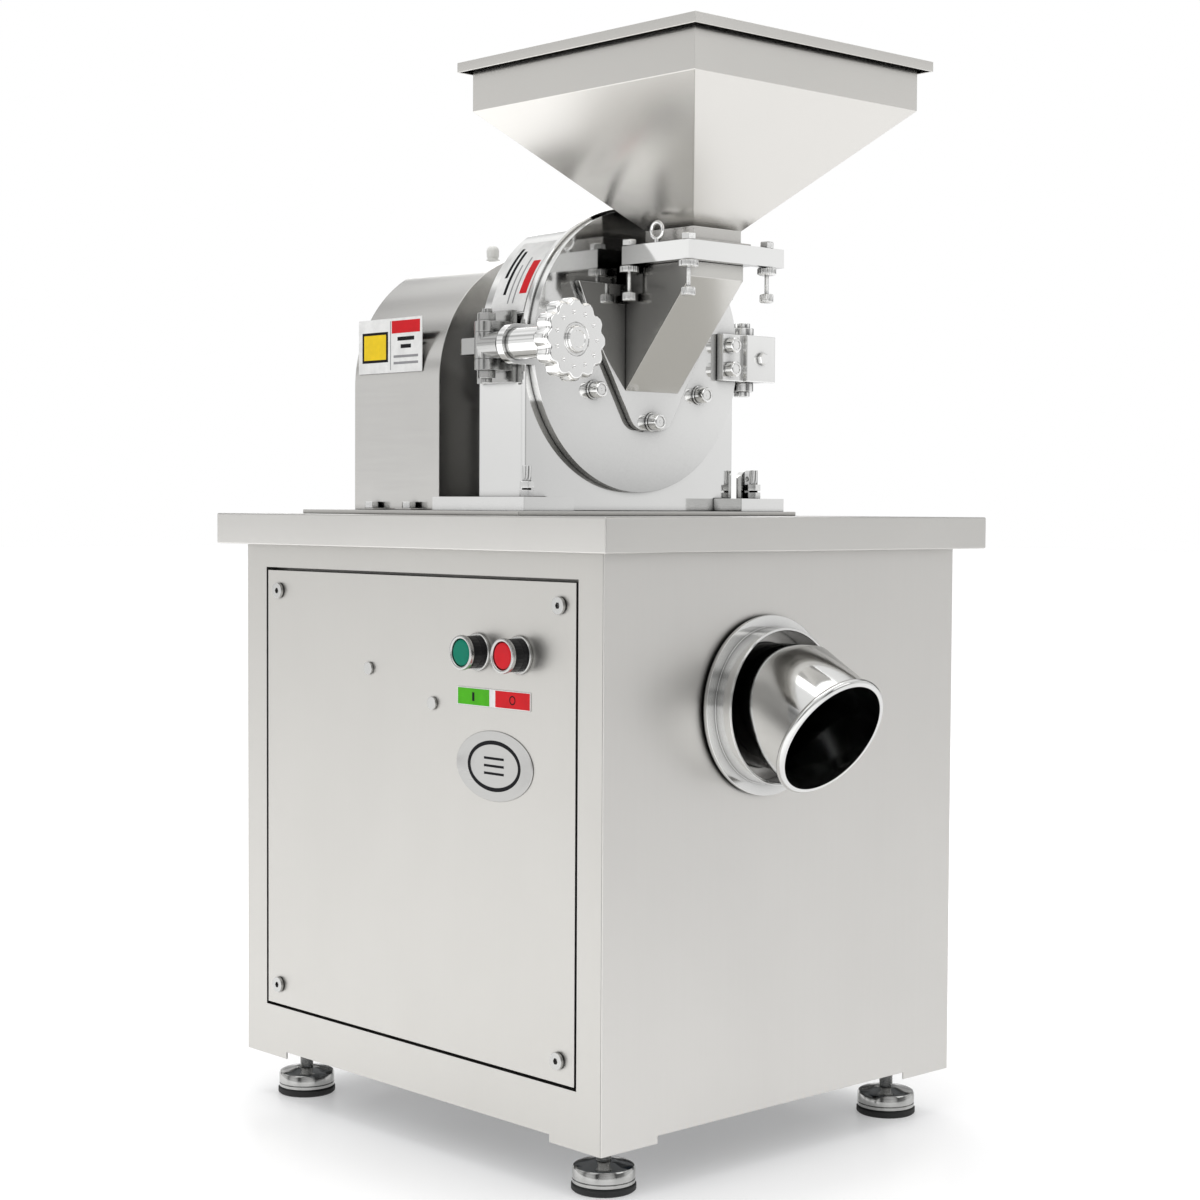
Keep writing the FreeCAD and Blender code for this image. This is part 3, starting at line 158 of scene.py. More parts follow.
def steel(name, colour, rough, grain=240.0, stretch=(1.0, 1.0, 0.03), line=0.02, cloud=0.03, streak=0.04,
          line_bump=0.02, wave=0.0, smear=0.0, dark=0.45, reach=0.014, clear=0.72):
    """Steel: fine grain along one way, broad clouds, faint smears, and painted shade in crevices and in a fine
    dark line where surfaces meet.

    dark is the tone of the painted crevice shade, reach how far it reaches, and clear how open a place is left
    alone.
    """
    mat, tree, shader = new_material(name)
    lines = noise(tree, grain, stretch, 5.0, 0.6)
    clouds = noise(tree, CLOUD_SCALE, EVEN, 3.0, 0.5, 0.4)
    smears = noise(tree, SMEAR_SCALE, (1, 1, 0.5), 5.0, 0.6, 0.6)
    low = tuple(c * (1 - cloud) for c in colour)
    high = tuple(min(1.0, c * (1 + cloud)) for c in colour)
    base = ramp(tree, clouds, [(0.25, low), (0.75, high)])
    base = multiply(tree, base, ramp(tree, lines, [(0.3, grey(1 - line)), (0.7, grey(1.0))]))
    # Painted shade: darker in crevices and hollows.
    base = multiply(tree, base, crevice_shade(tree, reach, dark, clear))
    # Painted shade: a fine dark line where surfaces meet.
    base = multiply(tree, base, crevice_shade(tree, SEAM_SHADE_REACH, SEAM_SHADE_TONE))
    tree.links.new(base, shader.inputs["Base Color"])
    shader.inputs["Metallic"].default_value = 1.0
    gloss = node(tree, "ShaderNodeMix", data_type="FLOAT")
    glossy = max(GLOSSIEST, rough - streak / 2)
    lined = ramp(tree, lines, [(0.25, grey(glossy)), (0.75, grey(rough + streak))])
    smeared = ramp(tree, smears, [(0.35, grey(rough)), (0.8, grey(rough + smear))])
    tree.links.new(lined, gloss.inputs["A"])
    tree.links.new(smeared, gloss.inputs["B"])
    gloss.inputs["Factor"].default_value = 0.5
    tree.links.new(gloss.outputs["Result"], shader.inputs["Roughness"])
    chain = None
    if wave:
        chain = bump(tree, shader, noise(tree, WAVE_SCALE, EVEN, 2.0, 0.4), wave, WAVE_DEPTH)
    bump(tree, shader, lines, line_bump, GRAIN_DEPTH, chain)
    return mat


def plastic(name, colour, rough=0.3, texture=0.06, coat=0.0, grain=900.0, shine=0.5):
    """Plastic, rubber, paint or film: faint spots in tone and gloss and painted shade in crevices, over a fine
    texture.
    """
    mat, tree, shader = new_material(name)
    spots = noise(tree, SPOT_SCALE, EVEN, 4.0, 0.6)
    low = tuple(c * 0.9 for c in colour)
    high = tuple(min(1.0, c * 1.08) for c in colour)
    base = ramp(tree, spots, [(0.3, low), (0.7, high)])
    base = multiply(tree, base, crevice_shade(tree, PLASTIC_SHADE_REACH, PLASTIC_SHADE_TONE))
    tree.links.new(base, shader.inputs["Base Color"])
    spotted = ramp(tree, spots, [(0.3, grey(rough)), (0.7, grey(rough + 0.08))])
    tree.links.new(spotted, shader.inputs["Roughness"])
    shader.inputs["Specular IOR Level"].default_value = shine
    shader.inputs["Coat Weight"].default_value = coat
    shader.inputs["Coat Roughness"].default_value = COAT_ROUGH
    bump(tree, shader, noise(tree, grain, EVEN, 2.0, 0.5), texture, GRAIN_DEPTH)
    return mat


def by_place(name, first, axis, limit, above, other_colour, other_rough):
    """One material of two finishes: beyond a limit along an axis of the node's own space, it is the other."""
    mat = first.copy()
    mat.name = name
    tree = mat.node_tree
    shader = tree.nodes["Principled BSDF"]
    coord = node(tree, "ShaderNodeTexCoord")
    split = node(tree, "ShaderNodeSeparateXYZ")
    tree.links.new(coord.outputs["Object"], split.inputs[0])
    test = node(tree, "ShaderNodeMath", operation="GREATER_THAN" if above else "LESS_THAN")
    tree.links.new(split.outputs[axis], test.inputs[0])
    test.inputs[1].default_value = limit
    others = (("Base Color", other_colour), ("Roughness", grey(other_rough)), ("Metallic", grey(0.0)))
    for socket, value in others:
        mix = node(tree, "ShaderNodeMix", data_type="RGBA")
        tree.links.new(test.outputs[0], mix.inputs["Factor"])
        links = shader.inputs[socket].links
        if links:
            tree.links.new(links[0].from_socket, mix.inputs["A"])
        else:
            mix.inputs["A"].default_value = (*grey(shader.inputs[socket].default_value), 1.0)
        mix.inputs["B"].default_value = (*value, 1.0)
        tree.links.new(mix.outputs["Result"], shader.inputs[socket])
    return mat


def paint_side_shade(mat, axis, limit, tone):
    """Paints shade into the base colour: darkens faces that look towards the low end of an axis."""
    tree = mat.node_tree
    shader = tree.nodes["Principled BSDF"]
    coord = node(tree, "ShaderNodeTexCoord")
    split = node(tree, "ShaderNodeSeparateXYZ")
    tree.links.new(coord.outputs["Normal"], split.inputs[0])
    test = node(tree, "ShaderNodeMath", operation="LESS_THAN")
    tree.links.new(split.outputs[axis], test.inputs[0])
    test.inputs[1].default_value = limit
    shade = ramp(tree, test.outputs[0], [(0.0, grey(1.0)), (1.0, grey(tone))])
    links = shader.inputs["Base Color"].links
    tree.links.new(multiply(tree, links[0].from_socket, shade), shader.inputs["Base Color"])


# ---------------------------------------------------------------- materials
WARM = (0.58, 0.569, 0.543)
COOL = (0.89, 0.89, 0.88)
POLISHED = dict(grain=300.0, stretch=EVEN, line=0.01, cloud=0.02, streak=0.02, line_bump=0.004, smear=0.06)
CAST = dict(grain=300.0, stretch=EVEN, line=0.01, streak=0.02, wave=0.22, smear=0.08)
TURNED = dict(grain=300.0, stretch=EVEN, streak=0.02, line_bump=0.01)
FORMED = dict(grain=60.0, stretch=EVEN, cloud=0.02, streak=0.01, line_bump=0.0, reach=0.03)
LOOKS_LEFT = -0.9
CHUTE_LEFT_REFLECTION_TONE = 0.42
cabinet_steel = steel("cabinet_steel", WARM, 0.36, line=0.012, cloud=0.015, smear=0.05)
front_steel = steel("front_steel", (0.65, 0.638, 0.615), 0.33, line=0.012, cloud=0.02, smear=0.05)
table_steel = steel("table_steel", (0.63, 0.62, 0.597), 0.28, stretch=(0.03, 0.03, 1.0), line=0.012,
                    smear=0.05)
# Hopper and chute: a deep, wide painted crevice shade, which draws the shadow line under the hopper's rim.
hopper_steel = steel("hopper_steel", (0.73, 0.715, 0.685), 0.24, line=0.004, wave=0.02, smear=0.02,
                     dark=0.06, **FORMED)
chute_steel = steel("chute_steel", (0.68, 0.67, 0.64), 0.16, line=0.006, wave=0.05, smear=0.03,
                    dark=0.12, **FORMED)
# Painted dark reflection: the chute's faces that look to -X get a darker base colour.
paint_side_shade(chute_steel, "X", LOOKS_LEFT, CHUTE_LEFT_REFLECTION_TONE)
# Feed flange and door: painted crevice shade that reaches far, darkening their faces near the chute.
flange_steel = steel("flange_steel", COOL, 0.07, wave=0.08, dark=0.06, reach=0.12, clear=0.93, **POLISHED)
door_steel = steel("door_steel", COOL, 0.06, wave=0.10, dark=0.12, reach=0.11, clear=0.88, **POLISHED)
mirror_steel = steel("mirror_steel", COOL, 0.06, wave=0.10, dark=0.25, **POLISHED)
wheel_steel = steel("wheel_steel", (0.95, 0.95, 0.94), 0.10, dark=0.10, reach=0.008, **CAST)
cast_mirror = steel("cast_mirror", COOL, 0.10, dark=0.07, reach=0.012, clear=0.86, **CAST)
foot_steel = steel("foot_steel", (0.46, 0.46, 0.45), 0.12, wave=0.05, smear=0.08, dark=0.15,
                   reach=0.02, **TURNED)
ring_steel = steel("ring_steel", (0.52, 0.52, 0.51), 0.24, smear=0.04, dark=0.2, **TURNED)
screw_steel = steel("screw_steel", (0.50, 0.50, 0.49), 0.16, wave=0.05, smear=0.08, dark=0.06,
                    reach=0.008, **TURNED)
guard_steel = steel("guard_steel", (0.65, 0.641, 0.622), 0.17, stretch=(1.0, 0.04, 1.0), line=0.015,
                    wave=0.03, smear=0.08)
spout_steel = steel("spout_steel", (0.70, 0.70, 0.69), 0.10, grain=200.0, stretch=(1, 0.04, 1),
                    streak=0.03, line_bump=0.01, wave=0.05, smear=0.06, dark=0.15, reach=0.05)
duct_steel = steel("duct_steel", (0.16, 0.165, 0.17), 0.3, grain=200.0, stretch=EVEN, line=0.05,
                   cloud=0.1, streak=0.05, wave=0.1, smear=0.1)
badge_steel = steel("badge_steel", (0.47, 0.467, 0.456), 0.28, grain=500.0, stretch=(1.0, 0.03, 1.0),
                    line=0.03)
cast_iron = steel("cast_iron", (0.42, 0.42, 0.42), 0.34, grain=90.0, stretch=EVEN, line=0.15, cloud=0.1,
                  streak=0.1, line_bump=0.2, wave=0.3, smear=0.1)
primer = plastic("primer", (0.20, 0.21, 0.22), 0.45, 0.1)
motor_paint = plastic("motor_paint", (0.08, 0.12, 0.18), 0.35, 0.15, coat=0.1, grain=300.0)
black_plastic = plastic("black_plastic", (0.010, 0.010, 0.011), 0.34, 0.05, shine=0.22)
rubber = plastic("rubber", (0.015, 0.015, 0.015), 0.62, 0.2, grain=500.0)
green_cap = plastic("green_cap", (0.002, 0.19, 0.12), 0.30, 0.02, shine=0.12)
red_cap = plastic("red_cap", (0.60, 0.012, 0.020), 0.30, 0.02, shine=0.12)
white_film = plastic("white_film", (0.80, 0.80, 0.79), 0.35, 0.02, coat=0.1)
green_film = plastic("green_film", (0.075, 0.44, 0.012), 0.4, 0.02, shine=0.12)
red_film = plastic("red_film", (0.62, 0.012, 0.018), 0.4, 0.02, shine=0.12)
yellow_film = plastic("yellow_film", (0.86, 0.60, 0.01), 0.4, 0.02, shine=0.2)
ink = plastic("ink", (0.008, 0.008, 0.010), 0.5, 0.02, shine=0.1)
grey_ink = plastic("grey_ink", (0.26, 0.26, 0.27), 0.4, 0.02)
cap_white = plastic("cap_white", (0.82, 0.82, 0.79), 0.3, 0.04, coat=0.1)

finish = {
    cabinet_steel: ["left_panel", "access_panel", "right_panel", "rear_panel"],
    front_steel: ["front_panel"],
    table_steel: ["table_top", "base_plate"],
    hopper_steel: ["hopper"],
    chute_steel: ["feed_chute"],
    guard_steel: ["belt_guard"],
    mirror_steel: ["chamber_plate", "chamber_shell", "foot_brackets"],
    door_steel: ["door_disc"],
    flange_steel: ["feed_flange"],
    spout_steel: ["outlet_collar", "outlet_elbow"],
    screw_steel: ["panel_screws", "latch_clevis", "latch_eye"],
    cast_mirror: ["mill_fasteners", "hinge_bracket", "hinge_ear", "latch_sleeve", "clamp_screw",
                  "cable_gland"],
    duct_steel: ["discharge_duct", "screen_ring"],
    primer: ["cabinet_frame", "motor_platform"],
    motor_paint: ["motor"],
    cast_iron: ["bearing_housing", "rotor_shaft", "rotor_disc", "driven_pulley", "motor_shaft",
                "stator_ring"],
    black_plastic: ["contactor_box"],
    rubber: ["drive_belts"],
}
# Two nodes turn black at a height: the slide gate in its top KNOB_TALL, the gate's frame under GATE_TALL.
KNOB_TALL = 16.2 * MM
GATE_TALL = 21.3 * MM
knob_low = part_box("slide_gate")[1].z - KNOB_TALL
frame_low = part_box("hopper")[0].z - GATE_TALL
gate_finish = by_place("gate_steel", cast_mirror, "Z", knob_low, above=True,
                       other_colour=grey(0.015), other_rough=0.3)
frame_finish = by_place("gate_frame_steel", mirror_steel, "Z", frame_low, above=False,
                        other_colour=grey(0.02), other_rough=0.35)
finish[gate_finish] = ["slide_gate"]
finish[frame_finish] = ["gate_frame"]


def dress(obj, mat):
    obj.data.materials.clear()
    obj.data.materials.append(mat)


def round_edges(obj, width, angle):
    edge = obj.modifiers.new("edge", "BEVEL")
    edge.width = width * MM
    edge.segments = 2
    edge.limit_method = "ANGLE"
    edge.angle_limit = math.radians(angle)


# Width of each node's rounded edges, in mm. The rest have PLAIN_EDGE.
soft_edge = {
    "left_panel": 0.6, "access_panel": 0.8, "front_panel": 0.6, "table_top": 1.6, "base_plate": 0.8,
    "hopper": 0.6, "feed_chute": 0.7, "gate_frame": 1.2, "slide_gate": 0.8, "feed_flange": 1.2,
    "door_disc": 1.5, "chamber_plate": 1.0, "chamber_shell": 0.6, "belt_guard": 0.8,
    "foot_brackets": 1.4, "mill_fasteners": 0.5, "hinge_ear": 1.2, "hinge_bracket": 1.2,
    "latch_clevis": 1.2, "latch_eye": 1.2, "latch_sleeve": 1.0, "outlet_collar": 0.6,
}
for mat, names in finish.items():
    for name in names:
        obj = nodes[name]
        dress(obj, mat)
        obj.data.shade_smooth()
        weld = obj.modifiers.new("weld", "WELD")
        weld.merge_threshold = WELD_GAP * MM
        flat = obj.modifiers.new("flat", "DECIMATE")
        flat.decimate_type = "DISSOLVE"
        flat.angle_limit = math.radians(FLAT_ANGLE)
        round_edges(obj, soft_edge.get(name, PLAIN_EDGE), FRAME_EDGE_ANGLE)
        even = obj.modifiers.new("even", "WEIGHTED_NORMAL")
        even.keep_sharp = True


# ---------------------------------------------------------------- mesh helpers
class Mesh:
    """Collects solids in one mesh, each with the index of its own material."""

    def __init__(self):
        self.bm = bmesh.new()

    def faces(self, rings, closed_ends, slot, looped=False):
        rows = [[self.bm.verts.new(p) for p in ring] for ring in rings]
        if looped:
            rows.append(rows[0])
        for low, high in zip(rows, rows[1:]):
            count = len(low)
            for i in range(count):
                j = (i + 1) % count
                self.bm.faces.new((low[i], low[j], high[j], high[i])).material_index = slot
        if closed_ends:
            self.bm.faces.new(rows[0][::-1]).material_index = slot
            self.bm.faces.new(rows[-1]).material_index = slot

    def box(self, low, high, slot=0):
        (x0, y0, z0), (x1, y1, z1) = low, high
        rings = [[Vector((x, y, z)) for x, y in ((x0, y0), (x1, y0), (x1, y1), (x0, y1))] for z in (z0, z1)]
        self.faces(rings, True, slot)

    def lathe(self, origin, axis, profile, steps=48, slot=0, lobes=0, depth=0.0, lobe_from=0.0, sharp=1.0,
              hollow=False):
        """Turns a profile of (distance, radius) pairs, in mm; lobes cut the rim where the radius is large.

        A hollow one is a ring whose profile closes on itself."""
        axis = Vector(axis)
        side = axis.orthogonal().normalized()
        other = axis.cross(side)
        rings = []
        for reach, radius in profile:
            ring = []
            for i in range(steps):
                a = 2 * math.pi * i / steps
                r = max(radius, THINNEST)
                if lobes and radius >= lobe_from:
                    r -= depth * (0.5 + 0.5 * math.cos(lobes * a)) ** sharp
                out = side * math.cos(a) + other * math.sin(a)
                ring.append(Vector(origin) + axis * (reach * MM) + out * (r * MM))
            rings.append(ring)
        self.faces(rings, not hollow, slot, hollow)

    def arc(self, centre, y0, y1, r0, r1, a0, a1, slot=0, steps=24):
        """A curved plate about an axis along Y, its angles in degrees up from -X."""
        rings = []
        for i in range(steps + 1):
            a = math.radians(a0 + (a1 - a0) * i / steps)
            out = Vector((-math.cos(a), 0, math.sin(a)))
            c = Vector(centre)
            corners = ((r0, y0), (r1, y0), (r1, y1), (r0, y1))
            rings.append([Vector((c.x + out.x * r, y, c.z + out.z * r)) for r, y in corners])
        self.faces(rings, True, slot)

    def done(self, name, mats, body, slot, replaced=(), soft=0.0):
        """Makes the piece, with its materials and body, what it replaces, and rounded edges in mm. Its slot is
        not used.
        """
        bmesh.ops.recalc_face_normals(self.bm, faces=self.bm.faces[:])
        mesh = bpy.data.meshes.new(name)
        self.bm.to_mesh(mesh)
        self.bm.free()
        mesh.shade_smooth()
        mesh.set_sharp_from_angle(angle=math.radians(SHARP_ANGLE))
        obj = bpy.data.objects.new(name, mesh)
        scene.collection.objects.link(obj)
        for mat in mats:
            mesh.materials.append(mat)
        if soft:
            round_edges(obj, soft, TURNED_EDGE_ANGLE)
        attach(obj, body)
        if replaced:
            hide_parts(*replaced)
        return obj


def middle(name):
    low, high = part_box(name)
    return (low + high) / 2


def threads(start, end, radius, pitch=1.4, depth=0.35):
    """Profile points of a thread, as rings."""
    points = []
    reach = start
    while reach + pitch <= end:
        points += [(reach, radius), (reach + pitch / 2, radius - depth)]
        reach += pitch
    return points + [(end, radius)]


# ---------------------------------------------------------------- handwheel
HUB_PROUD = 4.0
RIM_WIDE = 22.0
DENTS = 11
DENT_RING = 29 * MM
DENT_R = 3.2 * MM
DENT_IN = 2.2 * MM
low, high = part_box("handwheel")
hub = Vector(((low.x + high.x) / 2, high.y, (low.z + high.z) / 2))
wheel_r = (high.x - low.x) / 2 / MM
long = (high.y - low.y) / MM
face = long - HUB_PROUD
back = face - RIM_WIDE
wheel = Mesh()
wheel.lathe(hub, FRONT, [
    (0, 14.2), (0.8, 15), (back - 1.4, 15), (back, 16.6), (back, wheel_r - 4.6), (back, wheel_r - 4.0),
    (back + 1.0, wheel_r - 1.8), (back + 3.0, wheel_r - 0.4), (back + 5.0, wheel_r), (face - 5.0, wheel_r),
    (face - 3.0, wheel_r - 0.4), (face - 1.0, wheel_r - 1.8), (face, wheel_r - 4.0), (face, wheel_r - 4.6),
    (face, 19.0), (face, 18.4), (face - 0.9, 17.4), (face - 0.9, 15.0), (face, 14.0), (long - 1.0, 14.0),
    (long, 12.9), (long, 12.5), (long, 9.4), (long - 0.8, 8.6), (long - 0.8, 0)],
    steps=144, lobes=12, depth=4.4, lobe_from=wheel_r * 0.85, sharp=1.6)
wheel_piece = wheel.done("handwheel_cast", [wheel_steel], "clamp", "polished_steel", ["handwheel"])
dents = bmesh.new()
for i in range(DENTS):
    a = 2 * math.pi * i / DENTS
    spot = (hub.x + math.cos(a) * DENT_RING, low.y + DENT_IN, hub.z + math.sin(a) * DENT_RING)
    bmesh.ops.create_uvsphere(dents, u_segments=24, v_segments=16, radius=DENT_R,
                              matrix=Matrix.Translation(spot))
dent_mesh = bpy.data.meshes.new("dents")
dents.to_mesh(dent_mesh)
dents.free()
dent_tool = bpy.data.objects.new("dents", dent_mesh)
scene.collection.objects.link(dent_tool)
cut = wheel_piece.modifiers.new("cut", "BOOLEAN")
cut.operation = "DIFFERENCE"
cut.solver = "EXACT"
cut.object = dent_tool
bpy.context.view_layer.update()
cut_wheel = wheel_piece.evaluated_get(bpy.context.evaluated_depsgraph_get())
cut_mesh = bpy.data.meshes.new_from_object(cut_wheel)
wheel_piece.modifiers.clear()
wheel_piece.data = cut_mesh
cut_mesh.set_sharp_from_angle(angle=math.radians(SHARP_ANGLE))
bpy.data.objects.remove(dent_tool)

# ---------------------------------------------------------------- thumb screws under the gate frame
for number in range(1, 5):
    name = "thumb_screw_%d" % number
    low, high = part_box(name)
    foot = Vector(((low.x + high.x) / 2, (low.y + high.y) / 2, low.z))
    tall = (high.z - low.z) / MM
    screw = Mesh()
    grip = [(0, 0), (0, 6.2), (1.2, 7.9), (8.8, 7.9), (10, 6.4), (10, 0)]
    collar = [(31, 0), (31, 8.0), (32.4, 10.9), (38.4, 10.9), (39.6, 9.0), (40, 0)]
    nut = [(61.6, 0), (61.6, 8.2), (62.2, 8.66), (tall - 0.9, 8.66), (tall, 7.4), (tall, 0)]
    screw.lathe(foot, UP, grip, 96, lobes=24, depth=0.7, lobe_from=7.5)
    screw.lathe(foot, UP, [(10, 0), *threads(10, 31, 2.6), (31, 0)], 24)
    screw.lathe(foot, UP, collar, 120, lobes=24, depth=0.9, lobe_from=10.5)
    screw.lathe(foot, UP, [(40, 0), (40, 3.45), (61.3, 3.45), (61.6, 0)], 24)
    screw.lathe(foot, UP, nut, 6)
    screw.done("thumb_knob_%d" % number, [cast_mirror], "thumb_%d" % number, "polished_steel", [name], 0.25)

# ---------------------------------------------------------------- oil cap on the belt guard
low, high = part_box("oil_cap")
oiler = Mesh()
oiler.lathe(((low.x + high.x) / 2, (low.y + high.y) / 2, low.z), UP, [
    (0, 0), (0, 7.9), (3, 7.9), (3.6, 6.6), (5.4, 6.6), (6, 7.4), (13, 7.8), (16.5, 7.0), (18.8, 5.0),
    (19.8, 2.4), (20, 0)], lobes=16, depth=0.3, lobe_from=7.3)
oiler.done("oil_cap_moulded", [cap_white], "frame", "white_plastic", ["oil_cap"])

# ---------------------------------------------------------------- levelling feet
for number in range(1, 5):
    name = "foot_%d" % number
    low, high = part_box(name)
    base = Vector(((low.x + high.x) / 2, (low.y + high.y) / 2, low.z))
    tall = (high.z - low.z) / MM
    foot = Mesh()
    foot.lathe(base, UP, [(0, 0), (0, 32.2), (1.6, 33.9), (6.6, 33.9), (8, 32.6), (8, 0)], 96, slot=1)
    foot.lathe(base, UP, [
        (8, 0), (8, 31.4), (8.8, 32.9), (12.0, 32.9), (12.6, 32.2), (12.8, 32.2), (13.4, 32.9), (23.0, 32.9),
        (25.4, 31.6), (26.6, 29.4), (27.2, 26.0), (29.6, 15.0), (30.4, 12.0), (30.4, 9.0), (30.4, 0)], 180)
    nut = [(51.7, 0), (51.7, 13.0), (52.4, 13.85), (61.0, 13.85), (61.7, 13.0), (61.7, 0)]
    foot.lathe(base, UP, [(30.4, 0), *threads(30.4, 51.2, 7.9, 1.75, 0.5), (tall, 7.9), (tall, 0)], 40)
    foot.lathe(base, UP, nut, 6)
    body = "leveller_%d" % number
    foot.done("foot_turned_%d" % number, [foot_steel, rubber], body, "foot_steel", [name], 0.2)

# ---------------------------------------------------------------- start and stop buttons
wall_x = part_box("access_panel")[0].x
button_trim = Mesh()
button_body = Mesh()
for name, body, mat, slot in (("stop_cap", "stop_button", red_cap, "red_plastic"),
                              ("start_cap", "start_button", green_cap, "green_plastic")):
    spot = middle(name)
    seat = Vector((wall_x, spot.y, spot.z))
    button_trim.lathe(seat, LEFT, [(0, 15.1), (0, 20), (3.2, 20), (4, 19.2), (4, 15.1)], 72, hollow=True)
    button_trim.lathe(seat, LEFT, [
        (21, 14.6), (21, 17.9), (21.6, 18.5), (24.6, 18.5), (25.6, 18.0), (26, 17.2), (26, 16.0),
        (25.6, 15.2), (24.8, 14.7)], 96, lobes=48, depth=0.18, lobe_from=18.4, hollow=True)
    button_body.lathe(seat, LEFT, [
        (-2, 14.9), (4, 14.9), (4, 17.2), (5, 17.3), (9, 17.3), (9.4, 16.9), (10.0, 16.9), (10.4, 17.3),
        (20.4, 17.3), (21, 17.0), (21, 14.7), (10, 14.7), (-2, 14.7)],
        96, lobes=24, depth=0.35, lobe_from=17.25, hollow=True)
    cap = Mesh()
    cap.lathe(seat, LEFT, [
        (-22, 0), (-22, 4.9), (16.5, 4.9), (16.5, 14.1), (23.2, 14.1), (24.0, 13.7), (24.4, 12.8),
        (24.5, 11.0), (24.3, 6.0), (24.2, 0)], 72)
    cap.done(name + "_moulded", [mat], body, slot, [name])
button_trim.done("button_rings", [ring_steel], "frame", "polished_steel", ["button_bezels"])
button_body.done("button_barrels", [black_plastic], "frame", "black_plastic", ["button_bodies"])

# ---------------------------------------------------------------- door bolts
HEAD = [(0, 0), (0, 10.6), (0.4, 11), (2.0, 11), (2.4, 10.6), (2.4, 8.6), (3.0, 9.1), (13.4, 9.1),
        (14.6, 8.5), (15, 7.6), (15, 6.2), (14.0, 5.8), (14.0, 1.6), (14.4, 1.2), (14.4, 0)]
EAR_HEAD = [(0, 0), (0, 9), (10.6, 9), (11.6, 8.2), (12, 7.4), (12, 5.6), (11.2, 5.2), (11.2, 0)]
PIN_NUT = [(0, 0), (0, 7.5), (5.2, 7.5), (6, 6.6), (6, 0)]
BOLT_OUT = 84 * MM
BOLT_UP = 44 * MM
TIP_BOLT_UP = 10 * MM
EAR_BOLT_IN = 12 * MM
EAR_BOLT_UP = 14 * MM
EAR_SEAT = 6 * MM
PIN_IN = 25 * MM
low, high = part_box("feed_flange")
mid_x = (low.x + high.x) / 2
door_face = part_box("door_disc")[0].y
ear_low, ear_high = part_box("hinge_ear")
ear_mid_z = middle("hinge_ear").z
bolts = Mesh()
for spot in ((mid_x - BOLT_OUT, door_face, low.z + BOLT_UP), (mid_x + BOLT_OUT, door_face, low.z + BOLT_UP),
             (mid_x, low.y, low.z + TIP_BOLT_UP)):
    bolts.lathe(spot, FRONT, HEAD, 48)
for z in (ear_mid_z - EAR_BOLT_UP, ear_mid_z + EAR_BOLT_UP):
    bolts.lathe((ear_low.x + EAR_BOLT_IN, ear_low.y + EAR_SEAT, z), FRONT, EAR_HEAD, 48)
bolts.lathe((ear_high.x - PIN_IN, ear_low.y, ear_mid_z), FRONT, PIN_NUT, 6)
bolts.done("door_bolt_heads", [cast_mirror], "door", "polished_steel", ["door_bolts"])

# ---------------------------------------------------------------- button label, badge and notices
INK = 0.15 * MM
# The tint is green on the label and yellow on the notices.
WHITE, TINT, RED, BLACK, GREY = range(5)
BARE, PRINTED = range(2)
RING_AT = 0.24
BEVEL = 0.3 * MM
OVAL_STEPS = 96
RING_HALF_Y = 43 * MM
RING_HALF_Z = 27 * MM
RING_BAND = 0.16 * RING_HALF_Z
BAR_HALF_Y = 16 * MM
BAR_HALF_Z = 1.3 * MM
BAR_PITCH = 8 * MM
PLATE_T = 0.8 * MM
SIGN_IN = 18 * MM
SIGN_AHEAD = 112 * MM
SIGN_BEHIND = 10 * MM
SIGN_TALL = 64 * MM
GUARD_MARGIN = 2 * MM
ARCH_IN = 8 * MM
ARCH_LONG = 58 * MM
ARCH_ANGLES = (14, 50)


def on_side(mesh, area, u0, u1, v0, v1, slot, lift):
    """A thin mark on a plate that faces -X: u runs from low to high Y, v from low to high Z, both 0 to 1."""
    lo, hi = area
    y0, y1 = (lo.y + (hi.y - lo.y) * u for u in (u0, u1))
    z0, z1 = (lo.z + (hi.z - lo.z) * v for v in (v0, v1))
    mesh.box((lo.x - lift, y0, z0), (hi.x, y1, z1), slot)


# Marks: from and to along Y, from and to along Z, each 0 to 1; the slot; how far it stands proud.
label_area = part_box("button_label")
label = Mesh()
for mark in ((0.0, 1.0, 0.0, 1.0, WHITE, 0.0), (0.555, 0.992, 0.04, 0.96, TINT, INK),
             (0.008, 0.472, 0.04, 0.96, RED, INK), (0.76, 0.79, 0.26, 0.74, BLACK, INK * 2)):
    on_side(label, label_area, *mark)
low, high = label_area
centre = Vector((low.x - INK, low.y + (high.y - low.y) * RING_AT, middle("button_label").z))
label.lathe(centre, LEFT, [(0, 3.6), (0, 4.8), (0.15, 4.8), (0.15, 3.6)], 36, BLACK, hollow=True)
label_inks = [white_film, green_film, red_film, ink]
label.done("button_label_printed", label_inks, "frame", "label_film", ["button_label"])

low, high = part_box("badge")
spot = (low + high) / 2
badge = Mesh()


def oval(mesh, half_y, half_z, x0, x1, slot, band=0.0):
    """An oval plate about the badge's middle, bevelled at x1; with a band it is a ring that wide."""
    bevelled = (x1, half_y * (1 - BEVEL / half_z), half_z - BEVEL)
    outline = [(x0, half_y, half_z), (x1 + BEVEL, half_y, half_z), bevelled]
    if band:
        inner = (half_y - band, half_z - band)
        outline = [(x0, *inner), *outline, (x1, *inner)]
    turns = [2 * math.pi * i / OVAL_STEPS for i in range(OVAL_STEPS)]
    rings = [[Vector((x, spot.y + ry * math.cos(a), spot.z + rz * math.sin(a))) for a in turns]
             for x, ry, rz in outline]
    mesh.faces(rings, not band, slot, bool(band))


